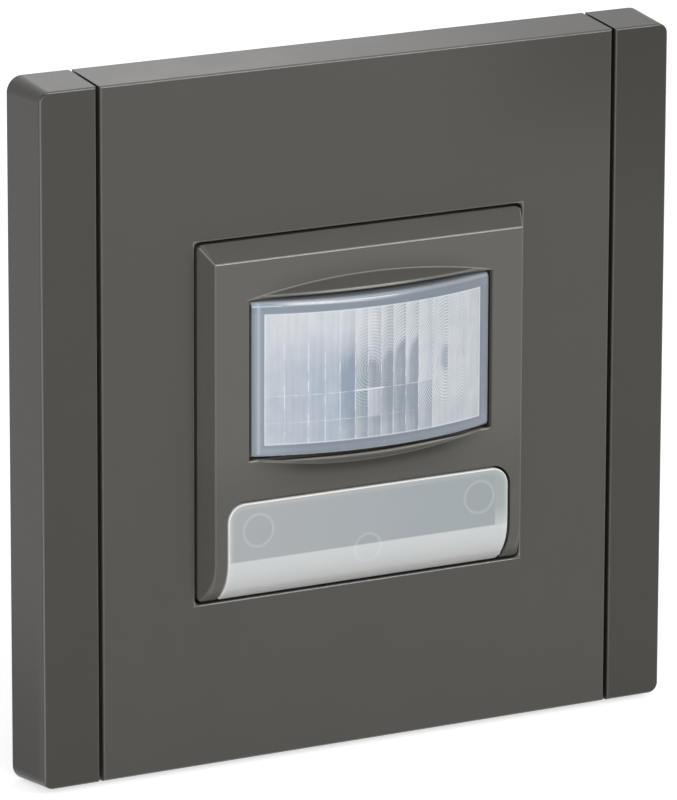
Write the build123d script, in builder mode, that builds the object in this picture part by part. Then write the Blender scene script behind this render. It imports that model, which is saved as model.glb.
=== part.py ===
from build123d import *
import os
from math import cos, radians, sin, sqrt

# Motion sensor light switch for a round wall box, with a square sensor head in a three-piece frame.
# +Z is up and the front faces -Y. The origin is the middle of the wall plane, where Y is zero.
# A height is a distance in front of the wall, so a negative height lies inside the wall box.
# All sizes are in millimetres.

os.makedirs("parts", exist_ok=True)

# Clearances and cuts
seat_gap = 0.1          # between a fixed piece and the pocket that holds it
running_gap = 0.06      # round a shaft that turns
moving_gap = 0.35       # round a piece that moves past another
reveal_gap = 0.3        # the dark line round a visible fixed piece
overrun = 1.0           # how far a cut runs past the faces it opens

# Opening in the frame for the square sensor cover
cover_half = 22.5
aperture_half = cover_half + reveal_gap
aperture_corner = 0.8
aperture_collar = 1.2
aperture_collar_back = 3.0

# Frame: a middle panel between two side strips, clipped on a carrier
frame_border = 20.7
frame_front = 7.5
frame_draft = 0.7
frame_corner = 1.3
frame_edge_round = 0.3
front_wall = 1.8
flange_wall = 1.6
strip_width = 7.78
groove_width = 0.45
groove_wall = 1.2
carrier_base = 1.4
carrier_tab_width = 10.0
carrier_tab_reach = 2.2
carrier_tab_thick = 1.4
carrier_tab_x = 20.0
carrier_corner = 1.5
frame_half = aperture_half + frame_border
groove_x = frame_half - strip_width
frame_wall_half = frame_half + frame_draft
frame_cavity_half = frame_half - flange_wall
carrier_half = frame_cavity_half - seat_gap
carrier_top = frame_front - front_wall

# Support plate that the wall box's screws hold, with a slot near the middle of each side
plate_inset = 8.0
plate_thick = 1.2
plate_corner = 4.0
plate_ledge = 1.0
plate_opening_corner = 2.5
box_slot_inset = 5.5
box_slot_length = 8.0
box_slot_radius = 1.75
plate_half = frame_half - plate_inset
plate_opening_half = cover_half - plate_ledge
box_screw_x = plate_half - box_slot_inset

# Insert in the wall box: housing, lid and board
housing_wall = 1.6
housing_depth = 30.0
housing_flange = 3.2
housing_flange_thick = 1.2
housing_bow = 5.6
flange_bow = 1.0
housing_half = cover_half - seat_gap
housing_round = housing_half + housing_bow
housing_flange_half = housing_half + housing_flange
housing_flange_round = housing_round + flange_bow
housing_inner_half = housing_half - housing_wall
housing_inner_round = housing_round - housing_wall
housing_inner_back = -(housing_depth - housing_wall)
lid_thick = 1.8
power_board_front = -3.8
power_board_thick = 1.6
power_board_back = power_board_front - power_board_thick

# Rivets that join the plate and the insert's flange
rivet_x = 10.0
rivet_z = (housing_half + housing_flange_half) / 2
rivet_radius = 0.95
rivet_head_radius = 1.4
rivet_head_thick = 0.6

# Sensor head: cover
cover_rise = 2.75
cover_front = frame_front + cover_rise
side_bevel = 1.1
top_bevel = 2.0
cover_wall = 1.5
cover_top_wall = 2.1
cover_corner = 0.7
crease_round = 0.25
curve_radius = 6.5
curve_end_angle = radians(56.0)
curve_start_z = curve_radius * sin(curve_end_angle) - cover_half
cover_inner_half = cover_half - cover_wall
cover_inner_top = cover_half - cover_top_wall
cover_inner_front = cover_front - cover_wall
curve_centre_height = cover_front - curve_radius
curve_end_height = curve_centre_height + curve_radius * cos(curve_end_angle)

# Lens: a shallow cylinder standing in front of the cover, between the flap and the cover's top
flap_height = 12.6
flap_high_z = flap_height - cover_half
lens_side_margin = 6.0
lens_low_margin = 5.7
lens_high_margin = 7.2
lens_half_width = cover_half - lens_side_margin
lens_low_z = flap_high_z + lens_low_margin
lens_high_z = cover_half - lens_high_margin
lens_bulge = 3.3
lens_side_rise = 0.06
lens_wall = 0.8
lens_edge_round = 0.65
lens_flange = 1.8
lens_flange_thick = 1.0
lens_front = cover_front + lens_bulge
lens_side_height = cover_front + lens_side_rise
lens_middle_z = (lens_low_z + lens_high_z) / 2
lens_opening_half_width = lens_half_width + reveal_gap
lens_opening_low = lens_low_z - reveal_gap
lens_opening_high = lens_high_z + reveal_gap
lens_flange_back = cover_inner_front - lens_flange_thick

# Eyelids over and under the lens
lid_inset = 0.1
lid_half_width = lens_half_width - lid_inset
upper_lid_rise = 1.75
upper_lid_gap_rise = 0.15
upper_lid_reach = 3.1
lower_lid_rise = 2.0
lower_lid_gap_rise = 0.8
lower_lid_reach = 2.1
lid_end_rise = 0.15
lid_edge_round = 0.25

# Settings flap and the recess behind it
flap_margin = 2.85
flap_half_width = cover_half - flap_margin
flap_wall = 1.2
flap_border = 1.4
flap_border_depth = 2.2
flap_corner = 2.3
flap_edge_round = 0.25
pivot_depth = 1.0
pivot_angle = radians(47.5)
pivot_height = curve_centre_height + (curve_radius - pivot_depth) * cos(pivot_angle)
pivot_z = curve_start_z - (curve_radius - pivot_depth) * sin(pivot_angle)
pivot_bead_radius = 0.95
trunnion_radius = 0.55
trunnion_length = 1.2
recess_half_width = flap_half_width + reveal_gap
recess_high_z = flap_high_z + reveal_gap
recess_floor_front = 5.6
recess_floor_wall = 1.0
recess_wall = 1.2
recess_floor_back = recess_floor_front - recess_floor_wall
recess_wall_high = recess_high_z + recess_wall

# Board, back cover and screws of the sensor head
sensor_board_side_gap = 0.6
sensor_board_end_gap = 0.2
sensor_board_half_width = cover_inner_half - sensor_board_side_gap
sensor_board_half_height = cover_inner_top - sensor_board_end_gap
sensor_board_thick = 1.2
sensor_board_back = 1.7
sensor_board_front = sensor_board_back + sensor_board_thick
board_corner = 1.5
back_cover_back = 0.2
back_cover_front = 1.2
back_cover_rim = 1.0
back_cover_corner = 0.75
head_screw_side_inset = 2.1
head_screw_top_inset = 1.5
head_screw_x = cover_inner_half - head_screw_side_inset
head_screw_z = cover_inner_top - head_screw_top_inset
head_boss_radius = 1.6
head_screw_radius = 0.8
head_screw_depth = 4.0
head_screw_head_radius = 1.3
head_screw_head_thick = 0.7

# Adjusters and their potentiometers
adjuster_radius = 2.1
adjuster_front = 7.2
adjuster_slot_width = 0.7
adjuster_slot_depth = 0.8
adjuster_stem_radius = 0.8
adjuster_stem_tip = 3.4
potentiometer_size = 4.8
potentiometer_thick = 1.6
potentiometer_front = sensor_board_front + potentiometer_thick
adjuster_back = potentiometer_front + moving_gap
side_adjuster_inset = 4.15
side_adjuster_drop = 3.6
middle_adjuster_drop = 7.9
side_adjuster_x = flap_half_width - side_adjuster_inset
side_adjuster_z = flap_high_z - side_adjuster_drop
middle_adjuster_z = flap_high_z - middle_adjuster_drop
potentiometer_corner = 0.5

# Sensors and chip on the sensor board
pir_radius = 4.1
pir_height = 4.2
pir_foot_radius = 4.6
pir_foot_thick = 0.4
pir_edge_round = 0.4
pir_window_width = 4.0
pir_window_height = 3.0
pir_window_thick = 0.3
light_x = 6.0
light_drop = 2.7
light_z = flap_high_z - light_drop
light_body_size = 3.0
light_dome_radius = 1.3
light_dome_round = 0.65
light_dome_front = recess_floor_front - 2 * seat_gap
chip_size = 7.0
chip_thick = 1.2
chip_chamfer = 0.3
chip_x = -(pir_foot_radius + lens_half_width) / 2

# Plug between the sensor head and the insert
plug_pins = 6
plug_cell_width = 2.54
plug_pin_width = 0.64
plug_drop = 4.1
plug_z = flap_high_z - plug_drop
plug_strip_width = 2.5
plug_pin_tip = -3.0
socket_width = 3.4
socket_front = -0.3
socket_hole_width = plug_pin_width + 2 * seat_gap
plug_length = plug_pins * plug_cell_width

# Terminals, along the lower wall of the housing
terminal_count = 4
terminal_block_height = 9.8
terminal_block_end_gap = 0.4
terminal_block_low = -(housing_inner_half - 2 * seat_gap)
terminal_block_high = terminal_block_low + terminal_block_height
terminal_block_half = sqrt(housing_inner_round**2 - terminal_block_low**2) - terminal_block_end_gap
terminal_distance = 2 * terminal_block_half / terminal_count
wire_radius = 1.75
wire_rise = 5.3
wire_z = terminal_block_low + wire_rise
clamp_width = 6.0
clamp_depth = 8.0
clamp_side_wall = 1.0
clamp_floor = 1.6
terminal_screw_inset = 1.1
clamp_space = 4.0
clamp_low_z = wire_z - clamp_space / 2 - clamp_floor
clamp_high_z = wire_z + clamp_space / 2 + clamp_side_wall
clamp_inset = 0.5
clamp_back = housing_inner_back + clamp_inset
terminal_screw_radius = 1.5
terminal_screw_head_radius = 2.1
terminal_screw_head_low = -(housing_half - terminal_screw_inset)
terminal_screw_slot_width = 0.6
terminal_screw_slot_depth = 0.9
screwdriver_radius = terminal_screw_head_radius + 2 * seat_gap
terminal_screw_height = clamp_back + clamp_depth / 2

# Parts on the power board. Corners, middles and radii are shares of the housing's inner half width.
relay_corner_shares = ((-0.88, -0.10), (-0.18, 0.80))
relay_depth = 15.5
relay_edge_round = 0.6
film_capacitor_corner_shares = ((-0.12, 0.10), (0.16, 0.86))
film_capacitor_depth = 12.0
rectifier_corner_shares = ((-0.80, -0.39), (-0.42, -0.16))
rectifier_depth = 4.5
part_edge_round = 0.5
electrolytic_middle_shares = (0.46, 0.63)
electrolytic_radius_share = 0.19
electrolytic_depth = 12.0
choke_middle_shares = (0.75, 0.23)
choke_core_radius_share = 0.10
choke_rim_radius_share = 0.165
choke_depth = 10.0
choke_rim_thick = 1.5
fuse_middle_shares = (0.74, -0.20)
fuse_radius_share = 0.19
fuse_depth = 8.0
varistor_middle_shares = (0.41, -0.12)
varistor_radius_share = 0.20
varistor_thick = 3.4
varistor_foot = 1.2

pieces = {}


def facing(height):
    """Plane parallel to the wall at a height in front of it, X across and Z up, facing the room."""
    return Plane.XZ.offset(height)


def middle(low, high):
    """Halfway between two numbers."""
    return (low + high) / 2


def on_board(shares):
    """Place on the power board, in X and Z, from its shares of the housing's inner half width."""
    return tuple(share * housing_inner_half for share in shares)


# Frame fronts

def frame_tray(low_x, high_x, low_flange, high_flange):
    """One front piece of the frame: the frame's outer form between two upright lines, hollow behind.

    Each side is a flange that reaches the wall, or a thinner wall along a groove that stands on
    the carrier's base.
    """
    low_wall = flange_wall if low_flange else groove_wall
    high_wall = flange_wall if high_flange else groove_wall
    hollow_low = -frame_cavity_half if low_flange else low_x + low_wall
    hollow_high = frame_cavity_half if high_flange else high_x - high_wall
    base_low = hollow_low if low_flange else low_x - overrun
    base_high = hollow_high if high_flange else high_x + overrun
    with BuildPart() as tray:
        with BuildSketch(facing(0)):
            RectangleRounded(2 * frame_wall_half, 2 * frame_wall_half, frame_corner + frame_draft)
        with BuildSketch(facing(frame_front)):
            RectangleRounded(2 * frame_half, 2 * frame_half, frame_corner)
        loft()
        with BuildSketch(facing(0)):
            with Locations((middle(low_x, high_x), 0)):
                Rectangle(high_x - low_x, 2 * frame_wall_half)
        extrude(amount=frame_front, mode=Mode.INTERSECT)
        fillet(tray.faces().sort_by(Axis.Y)[0].edges(), frame_edge_round)
        with BuildSketch(facing(0)):
            with Locations((middle(hollow_low, hollow_high), 0)):
                Rectangle(hollow_high - hollow_low, 2 * frame_cavity_half)
        extrude(amount=carrier_top, mode=Mode.SUBTRACT)
        with BuildSketch(facing(0)):
            with Locations((middle(base_low, base_high), 0)):
                Rectangle(base_high - base_low, 2 * frame_cavity_half)
        extrude(amount=carrier_base, mode=Mode.SUBTRACT)
    return tray.part


panel_edge_x = groove_x - groove_width / 2
strip_edge_x = groove_x + groove_width / 2

with BuildPart() as centre_panel:
    add(frame_tray(-panel_edge_x, panel_edge_x, False, False))
    with BuildSketch(facing(aperture_collar_back)):
        RectangleRounded(2 * (aperture_half + aperture_collar), 2 * (aperture_half + aperture_collar),
                         aperture_corner + aperture_collar)
    extrude(amount=carrier_top - aperture_collar_back)
    with BuildSketch(facing(0)):
        RectangleRounded(2 * aperture_half, 2 * aperture_half, aperture_corner)
    extrude(amount=frame_front + overrun, mode=Mode.SUBTRACT)
    aperture_edges = centre_panel.edges().group_by(Axis.Y)[0].filter_by(
        lambda edge: max(abs(edge.center().X), abs(edge.center().Z)) < aperture_half + aperture_collar)
    fillet(aperture_edges, frame_edge_round)
pieces["centre_panel"] = centre_panel

with BuildPart() as left_side_strip:
    add(frame_tray(-frame_wall_half, -strip_edge_x, True, False))
pieces["left_side_strip"] = left_side_strip

with BuildPart() as right_side_strip:
    add(frame_tray(strip_edge_x, frame_wall_half, False, True))
pieces["right_side_strip"] = right_side_strip

# Frame carrier: a ring round the support plate, with rails inside the fronts and tabs on the plate

carrier_opening_half = plate_half + 2 * seat_gap
side_rail_inner = strip_edge_x + groove_wall + seat_gap
end_rail_half = panel_edge_x - groove_wall - seat_gap
side_rail_x = middle(side_rail_inner, carrier_half)
end_rail_z = middle(carrier_opening_half, carrier_half)

with BuildPart() as frame_carrier:
    with BuildSketch(facing(0)):
        RectangleRounded(2 * carrier_half, 2 * carrier_half, carrier_corner)
        Rectangle(2 * carrier_opening_half, 2 * carrier_opening_half, mode=Mode.SUBTRACT)
    extrude(amount=carrier_base)
    with BuildSketch(facing(0)):
        with Locations((-side_rail_x, 0), (side_rail_x, 0)):
            Rectangle(carrier_half - side_rail_inner, 2 * carrier_half)
        with Locations((0, -end_rail_z), (0, end_rail_z)):
            Rectangle(2 * end_rail_half, carrier_half - carrier_opening_half)
    extrude(amount=carrier_top)
    fillet(frame_carrier.edges().filter_by(Axis.Y).group_by(
        lambda edge: abs(edge.center().X) + abs(edge.center().Z))[-1], carrier_corner)
    with BuildSketch(facing(plate_thick)):
        with GridLocations(2 * carrier_tab_x, 2 * (carrier_opening_half - carrier_tab_reach / 2), 2, 2):
            Rectangle(carrier_tab_width, carrier_tab_reach + 2 * seat_gap)
    extrude(amount=carrier_tab_thick)
pieces["frame_carrier"] = frame_carrier

# Support plate

with BuildPart() as support_plate:
    with BuildSketch(facing(0)):
        RectangleRounded(2 * plate_half, 2 * plate_half, plate_corner)
        RectangleRounded(2 * plate_opening_half, 2 * plate_opening_half, plate_opening_corner,
                         mode=Mode.SUBTRACT)
        with Locations((-box_screw_x, 0), (box_screw_x, 0)):
            SlotOverall(box_slot_length, 2 * box_slot_radius, mode=Mode.SUBTRACT)
        with Locations((0, -box_screw_x), (0, box_screw_x)):
            SlotOverall(box_slot_length, 2 * box_slot_radius, rotation=90, mode=Mode.SUBTRACT)
        with GridLocations(2 * rivet_x, 2 * rivet_z, 2, 2):
            Circle(rivet_radius + seat_gap / 2, mode=Mode.SUBTRACT)
    extrude(amount=plate_thick)
pieces["support_plate"] = support_plate

with BuildPart() as housing_rivets:
    with BuildSketch(facing(-housing_flange_thick - rivet_head_thick)):
        with GridLocations(2 * rivet_x, 2 * rivet_z, 2, 2):
            Circle(rivet_head_radius)
    extrude(amount=rivet_head_thick)
    with BuildSketch(facing(-housing_flange_thick)):
        with GridLocations(2 * rivet_x, 2 * rivet_z, 2, 2):
            Circle(rivet_radius)
    extrude(amount=housing_flange_thick + plate_thick)
    with BuildSketch(facing(plate_thick)):
        with GridLocations(2 * rivet_x, 2 * rivet_z, 2, 2):
            Circle(rivet_head_radius)
    extrude(amount=rivet_head_thick)
pieces["housing_rivets"] = housing_rivets

# Sensor cover: a bevelled square cap, with a lens opening, two eyelids and the settings recess

side_crease_x = cover_half - side_bevel
top_crease_z = cover_half - top_bevel


def eyelid(rise, gap_rise, reach):
    """An arched shelf over the lens, which slopes forward from the cover's front to a rounded edge.

    Seen from the front it lies between two arcs, at rise and at gap_rise over the lens opening.
    """
    end_z = lens_opening_high + lid_end_rise
    with BuildPart() as shelf:
        with BuildSketch(facing(cover_front)):
            with BuildLine() as outline:
                ThreePointArc((-lid_half_width, end_z), (0, lens_opening_high + rise),
                              (lid_half_width, end_z))
                Polyline((lid_half_width, end_z), (lid_half_width, lens_opening_high),
                         (-lid_half_width, lens_opening_high), (-lid_half_width, end_z))
            make_face(outline.edges())
        extrude(amount=sqrt(rise**2 + reach**2), dir=(0, -reach, -rise))
        with BuildSketch(facing(cover_front)):
            with BuildLine() as gap:
                ThreePointArc((-lens_opening_half_width, lens_opening_high),
                              (0, lens_opening_high + gap_rise),
                              (lens_opening_half_width, lens_opening_high))
                Polyline((lens_opening_half_width, lens_opening_high),
                         (lens_opening_half_width, lens_opening_high - rise),
                         (-lens_opening_half_width, lens_opening_high - rise),
                         (-lens_opening_half_width, lens_opening_high))
            make_face(gap.edges())
        extrude(amount=reach + overrun, mode=Mode.SUBTRACT)
        fillet(shelf.edges().sort_by(Axis.Y)[0], lid_edge_round)
    return shelf.part


with BuildPart() as sensor_cover:
    with BuildSketch(Plane.YZ):
        with BuildLine():
            Polyline((-curve_end_height, -cover_half), (-plate_thick, -cover_half),
                     (-plate_thick, cover_half), (-frame_front, cover_half),
                     (-cover_front, top_crease_z), (-cover_front, curve_start_z))
            RadiusArc((-cover_front, curve_start_z), (-curve_end_height, -cover_half), -curve_radius)
        make_face()
    extrude(amount=cover_half, both=True)
    with BuildSketch(Plane.XY.offset(-cover_half)):
        with BuildLine():
            Polyline((-cover_half, -plate_thick), (-cover_half, -frame_front),
                     (-side_crease_x, -cover_front), (side_crease_x, -cover_front),
                     (cover_half, -frame_front), (cover_half, -plate_thick), close=True)
        make_face()
    extrude(amount=2 * cover_half, mode=Mode.INTERSECT)
    corner_edges = sensor_cover.edges().filter_by(Axis.Y).filter_by(
        lambda edge: abs(edge.center().X) > side_crease_x and abs(edge.center().Z) > top_crease_z)
    fillet(corner_edges, cover_corner)
    crease_edges = sensor_cover.faces().sort_by(Axis.Y)[0].edges().filter_by(
        lambda edge: edge.center().Z > curve_start_z + overrun)
    fillet(crease_edges, crease_round)
    add(eyelid(upper_lid_rise, upper_lid_gap_rise, upper_lid_reach))
    add(mirror(eyelid(lower_lid_rise, lower_lid_gap_rise, lower_lid_reach),
               about=Plane.XY.offset(lens_middle_z), mode=Mode.PRIVATE))
    with BuildSketch(facing(plate_thick)):
        with Locations((0, middle(recess_wall_high, cover_inner_top))):
            Rectangle(2 * cover_inner_half, cover_inner_top - recess_wall_high)
    extrude(amount=cover_inner_front - plate_thick, mode=Mode.SUBTRACT)
    with BuildSketch(facing(plate_thick)):
        with Locations((0, middle(-cover_inner_half, recess_wall_high))):
            Rectangle(2 * cover_inner_half, cover_inner_half + recess_wall_high)
    extrude(amount=recess_floor_back - plate_thick, mode=Mode.SUBTRACT)
    with BuildSketch(facing(recess_floor_front)):
        with BuildLine():
            Polyline((-recess_half_width, recess_high_z - flap_corner - reveal_gap),
                     (-recess_half_width, -cover_half - overrun),
                     (recess_half_width, -cover_half - overrun),
                     (recess_half_width, recess_high_z - flap_corner - reveal_gap))
            RadiusArc((recess_half_width, recess_high_z - flap_corner - reveal_gap),
                      (recess_half_width - flap_corner - reveal_gap, recess_high_z),
                      -flap_corner - reveal_gap)
            Line((recess_half_width - flap_corner - reveal_gap, recess_high_z),
                 (-recess_half_width + flap_corner + reveal_gap, recess_high_z))
            RadiusArc((-recess_half_width + flap_corner + reveal_gap, recess_high_z),
                      (-recess_half_width, recess_high_z - flap_corner - reveal_gap),
                      -flap_corner - reveal_gap)
        make_face()
    extrude(amount=cover_rise + frame_front, mode=Mode.SUBTRACT)
    with BuildSketch(facing(cover_inner_front - overrun)):
        with Locations((0, middle(lens_opening_low, lens_opening_high))):
            Rectangle(2 * lens_opening_half_width, lens_opening_high - lens_opening_low)
    extrude(amount=cover_wall + 2 * overrun + upper_lid_reach, mode=Mode.SUBTRACT)
    with BuildSketch(facing(recess_floor_back)):
        with Locations((-side_adjuster_x, side_adjuster_z), (side_adjuster_x, side_adjuster_z),
                       (0, middle_adjuster_z)):
            Circle(adjuster_radius + moving_gap)
        with Locations((-light_x, light_z), (light_x, light_z)):
            Circle(light_dome_radius + seat_gap)
    extrude(amount=recess_floor_wall, mode=Mode.SUBTRACT)
    with BuildSketch(facing(sensor_board_front)):
        with Locations((-head_screw_x, head_screw_z), (head_screw_x, head_screw_z)):
            Circle(head_boss_radius)
    extrude(amount=cover_inner_front - sensor_board_front)
    with BuildSketch(facing(sensor_board_front)):
        with Locations((-head_screw_x, head_screw_z), (head_screw_x, head_screw_z)):
            Circle(head_screw_radius + seat_gap / 2)
    extrude(amount=head_screw_depth, mode=Mode.SUBTRACT)
    with BuildSketch(Plane.YZ):
        with Locations((-pivot_height, pivot_z)):
            Circle(trunnion_radius + running_gap)
    extrude(amount=recess_half_width + trunnion_length, both=True, mode=Mode.SUBTRACT)
pieces["sensor_cover"] = sensor_cover

# Lens, with a flange behind the cover and a retainer that presses on it

with BuildPart() as fresnel_lens:
    with BuildSketch(Plane.XY.offset(lens_low_z)):
        with BuildLine():
            ThreePointArc((-lens_half_width, -lens_side_height), (0, -lens_front),
                          (lens_half_width, -lens_side_height))
            Polyline((lens_half_width, -lens_side_height), (lens_half_width, -lens_flange_back),
                     (-lens_half_width, -lens_flange_back), (-lens_half_width, -lens_side_height))
        make_face()
    extrude(amount=lens_high_z - lens_low_z)
    front_arcs = fresnel_lens.edges().filter_by(GeomType.CIRCLE)
    fillet(front_arcs, lens_edge_round)
    with BuildSketch(facing(lens_flange_back)):
        with Locations((0, lens_middle_z)):
            Rectangle(2 * (lens_half_width + lens_flange), lens_high_z - lens_low_z + 2 * lens_flange)
    extrude(amount=lens_flange_thick)
    with BuildSketch(Plane.XY.offset(lens_low_z + lens_wall)):
        with BuildLine():
            ThreePointArc((-lens_half_width + lens_wall, -lens_side_height + lens_wall),
                          (0, -lens_front + lens_wall),
                          (lens_half_width - lens_wall, -lens_side_height + lens_wall))
            Polyline((lens_half_width - lens_wall, -lens_side_height + lens_wall),
                     (lens_half_width - lens_wall, -lens_flange_back + overrun),
                     (-lens_half_width + lens_wall, -lens_flange_back + overrun),
                     (-lens_half_width + lens_wall, -lens_side_height + lens_wall))
        make_face()
    extrude(amount=lens_high_z - lens_low_z - 2 * lens_wall, mode=Mode.SUBTRACT)
pieces["fresnel_lens"] = fresnel_lens

with BuildPart() as lens_retainer:
    with BuildSketch(facing(sensor_board_front)):
        with Locations((0, lens_middle_z)):
            Rectangle(2 * (lens_half_width + lens_flange), lens_high_z - lens_low_z + 2 * lens_flange)
            Rectangle(2 * lens_half_width, lens_high_z - lens_low_z, mode=Mode.SUBTRACT)
    extrude(amount=lens_flange_back - sensor_board_front)
pieces["lens_retainer"] = lens_retainer

# Settings flap: a bent sheet on two trunnions

def flap_profile_point(radius):
    """Where the flap's lower end cuts a circle about the middle of its bend, in Y and Z."""
    height = curve_centre_height + radius * cos(curve_end_angle)
    return -height, curve_start_z - radius * sin(curve_end_angle)


def bent_sheet(thickness, mode=Mode.ADD):
    """Side view of the flap at a thickness, drawn in the sketch that is open."""
    inner_radius = curve_radius - thickness
    inner_front = cover_front - thickness
    outer_tip = flap_profile_point(curve_radius)
    inner_tip = flap_profile_point(inner_radius)
    with BuildLine() as outline:
        Line((-inner_front, curve_start_z), (-inner_front, flap_high_z))
        Line((-inner_front, flap_high_z), (-cover_front, flap_high_z))
        Line((-cover_front, flap_high_z), (-cover_front, curve_start_z))
        RadiusArc((-cover_front, curve_start_z), outer_tip, -curve_radius)
        Line(outer_tip, inner_tip)
        RadiusArc(inner_tip, (-inner_front, curve_start_z), inner_radius)
    make_face(outline.edges(), mode=mode)


with BuildPart() as settings_flap:
    with BuildSketch(Plane.YZ):
        bent_sheet(flap_border_depth)
    extrude(amount=flap_half_width, both=True)
    fillet(settings_flap.edges().filter_by(Axis.Y).group_by(Axis.Z)[-1], flap_corner)
    rim_edges = settings_flap.faces().sort_by(Axis.Y)[0].edges().filter_by(
        lambda edge: edge.center().Z > curve_start_z + overrun)
    fillet(rim_edges, flap_edge_round)
    with BuildSketch(Plane.YZ):
        bent_sheet(flap_border_depth + overrun)
        bent_sheet(flap_wall, Mode.SUBTRACT)
    extrude(amount=flap_half_width - flap_border, both=True, mode=Mode.SUBTRACT)
    with BuildSketch(Plane.YZ):
        with Locations((-pivot_height, pivot_z)):
            Circle(pivot_bead_radius)
    extrude(amount=flap_half_width, both=True)
    with BuildSketch(Plane.YZ):
        with Locations((-pivot_height, pivot_z)):
            Circle(trunnion_radius)
    extrude(amount=recess_half_width + trunnion_length - seat_gap, both=True)
pieces["settings_flap"] = settings_flap

# Sensor board and the head's back cover

with BuildPart() as sensor_board:
    with BuildSketch(facing(sensor_board_back)):
        RectangleRounded(2 * sensor_board_half_width, 2 * sensor_board_half_height, board_corner)
        with Locations((-head_screw_x, head_screw_z), (head_screw_x, head_screw_z)):
            Circle(head_screw_radius + seat_gap / 2, mode=Mode.SUBTRACT)
    extrude(amount=sensor_board_thick)
pieces["sensor_board"] = sensor_board

with BuildPart() as sensor_back_cover:
    with BuildSketch(facing(back_cover_back)):
        RectangleRounded(2 * sensor_board_half_width, 2 * sensor_board_half_height, board_corner)
    extrude(amount=sensor_board_back - back_cover_back)
    with BuildSketch(facing(back_cover_front)):
        RectangleRounded(2 * (sensor_board_half_width - back_cover_rim),
                         2 * (sensor_board_half_height - back_cover_rim), back_cover_corner)
    extrude(amount=sensor_board_back - back_cover_front, mode=Mode.SUBTRACT)
    with BuildSketch(facing(back_cover_front)):
        with Locations((-head_screw_x, head_screw_z), (head_screw_x, head_screw_z)):
            Circle(head_screw_head_radius)
    extrude(amount=sensor_board_back - back_cover_front)
    with BuildSketch(facing(back_cover_back)):
        with Locations((-head_screw_x, head_screw_z), (head_screw_x, head_screw_z)):
            Circle(head_screw_head_radius + seat_gap)
    extrude(amount=head_screw_head_thick, mode=Mode.SUBTRACT)
    with BuildSketch(facing(back_cover_back)):
        with Locations((0, plug_z)):
            Rectangle(plug_length + 2 * seat_gap, plug_strip_width + 2 * seat_gap)
        with Locations((-head_screw_x, head_screw_z), (head_screw_x, head_screw_z)):
            Circle(head_screw_radius + seat_gap / 2)
    extrude(amount=sensor_board_back - back_cover_back, mode=Mode.SUBTRACT)
pieces["sensor_back_cover"] = sensor_back_cover

with BuildPart() as head_screws:
    with BuildSketch(facing(back_cover_back)):
        with Locations((-head_screw_x, head_screw_z), (head_screw_x, head_screw_z)):
            Circle(head_screw_radius)
    extrude(amount=sensor_board_front + head_screw_depth - seat_gap - back_cover_back)
    with BuildSketch(facing(back_cover_back)):
        with Locations((-head_screw_x, head_screw_z), (head_screw_x, head_screw_z)):
            Circle(head_screw_head_radius)
    extrude(amount=head_screw_head_thick)
pieces["head_screws"] = head_screws


# Potentiometers on the board, and the slotted adjusters that turn in them

def potentiometer(x, z):
    """Square potentiometer body with a round hole for the adjuster's stem."""
    with BuildPart() as body:
        with BuildSketch(facing(sensor_board_front)):
            with Locations((x, z)):
                RectangleRounded(potentiometer_size, potentiometer_size, potentiometer_corner)
        extrude(amount=potentiometer_thick)
        with BuildSketch(facing(potentiometer_front)):
            with Locations((x, z)):
                Circle(adjuster_stem_radius + running_gap)
        extrude(amount=adjuster_stem_tip - seat_gap - potentiometer_front, mode=Mode.SUBTRACT)
    return body


def adjuster(x, z):
    """Round adjuster with a screwdriver slot in front and a stem behind."""
    with BuildPart() as dial:
        with BuildSketch(facing(adjuster_back)):
            with Locations((x, z)):
                Circle(adjuster_radius)
        extrude(amount=adjuster_front - adjuster_back)
        with BuildSketch(facing(adjuster_stem_tip)):
            with Locations((x, z)):
                Circle(adjuster_stem_radius)
        extrude(amount=adjuster_back - adjuster_stem_tip)
        with BuildSketch(facing(adjuster_front)):
            with Locations((x, z)):
                Rectangle(adjuster_slot_width, 2 * adjuster_radius)
        extrude(amount=-adjuster_slot_depth, mode=Mode.SUBTRACT)
    return dial


adjuster_places = {
    "time": (-side_adjuster_x, side_adjuster_z),
    "brightness": (0, middle_adjuster_z),
    "range": (side_adjuster_x, side_adjuster_z),
}
for setting, place in adjuster_places.items():
    pieces[setting + "_potentiometer"] = potentiometer(*place)
    pieces[setting + "_adjuster"] = adjuster(*place)

# Motion sensor can and its window, light sensor, indicator and chip

pir_front = sensor_board_front + pir_height

with BuildPart() as pir_sensor_can:
    with BuildSketch(facing(sensor_board_front)):
        with Locations((0, lens_middle_z)):
            Circle(pir_foot_radius)
    extrude(amount=pir_foot_thick)
    with BuildSketch(facing(sensor_board_front)):
        with Locations((0, lens_middle_z)):
            Circle(pir_radius)
    extrude(amount=pir_height)
    fillet(pir_sensor_can.edges().group_by(Axis.Y)[0], pir_edge_round)
    with BuildSketch(facing(pir_front)):
        with Locations((0, lens_middle_z)):
            Rectangle(pir_window_width, pir_window_height)
    extrude(amount=-pir_window_thick, mode=Mode.SUBTRACT)
pieces["pir_sensor_can"] = pir_sensor_can

with BuildPart() as pir_window:
    with BuildSketch(facing(pir_front)):
        with Locations((0, lens_middle_z)):
            Rectangle(pir_window_width - seat_gap, pir_window_height - seat_gap)
    extrude(amount=-pir_window_thick)
pieces["pir_window"] = pir_window


def domed_part(x):
    """Small square component with a round dome that reaches through the recess floor."""
    with BuildPart() as component:
        with BuildSketch(facing(sensor_board_front)):
            with Locations((x, light_z)):
                Rectangle(light_body_size, light_body_size)
        extrude(amount=recess_floor_back - seat_gap - sensor_board_front)
        with BuildSketch(facing(sensor_board_front)):
            with Locations((x, light_z)):
                Circle(light_dome_radius)
        extrude(amount=light_dome_front - sensor_board_front)
        fillet(component.edges().group_by(Axis.Y)[0], light_dome_round)
    return component


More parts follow.
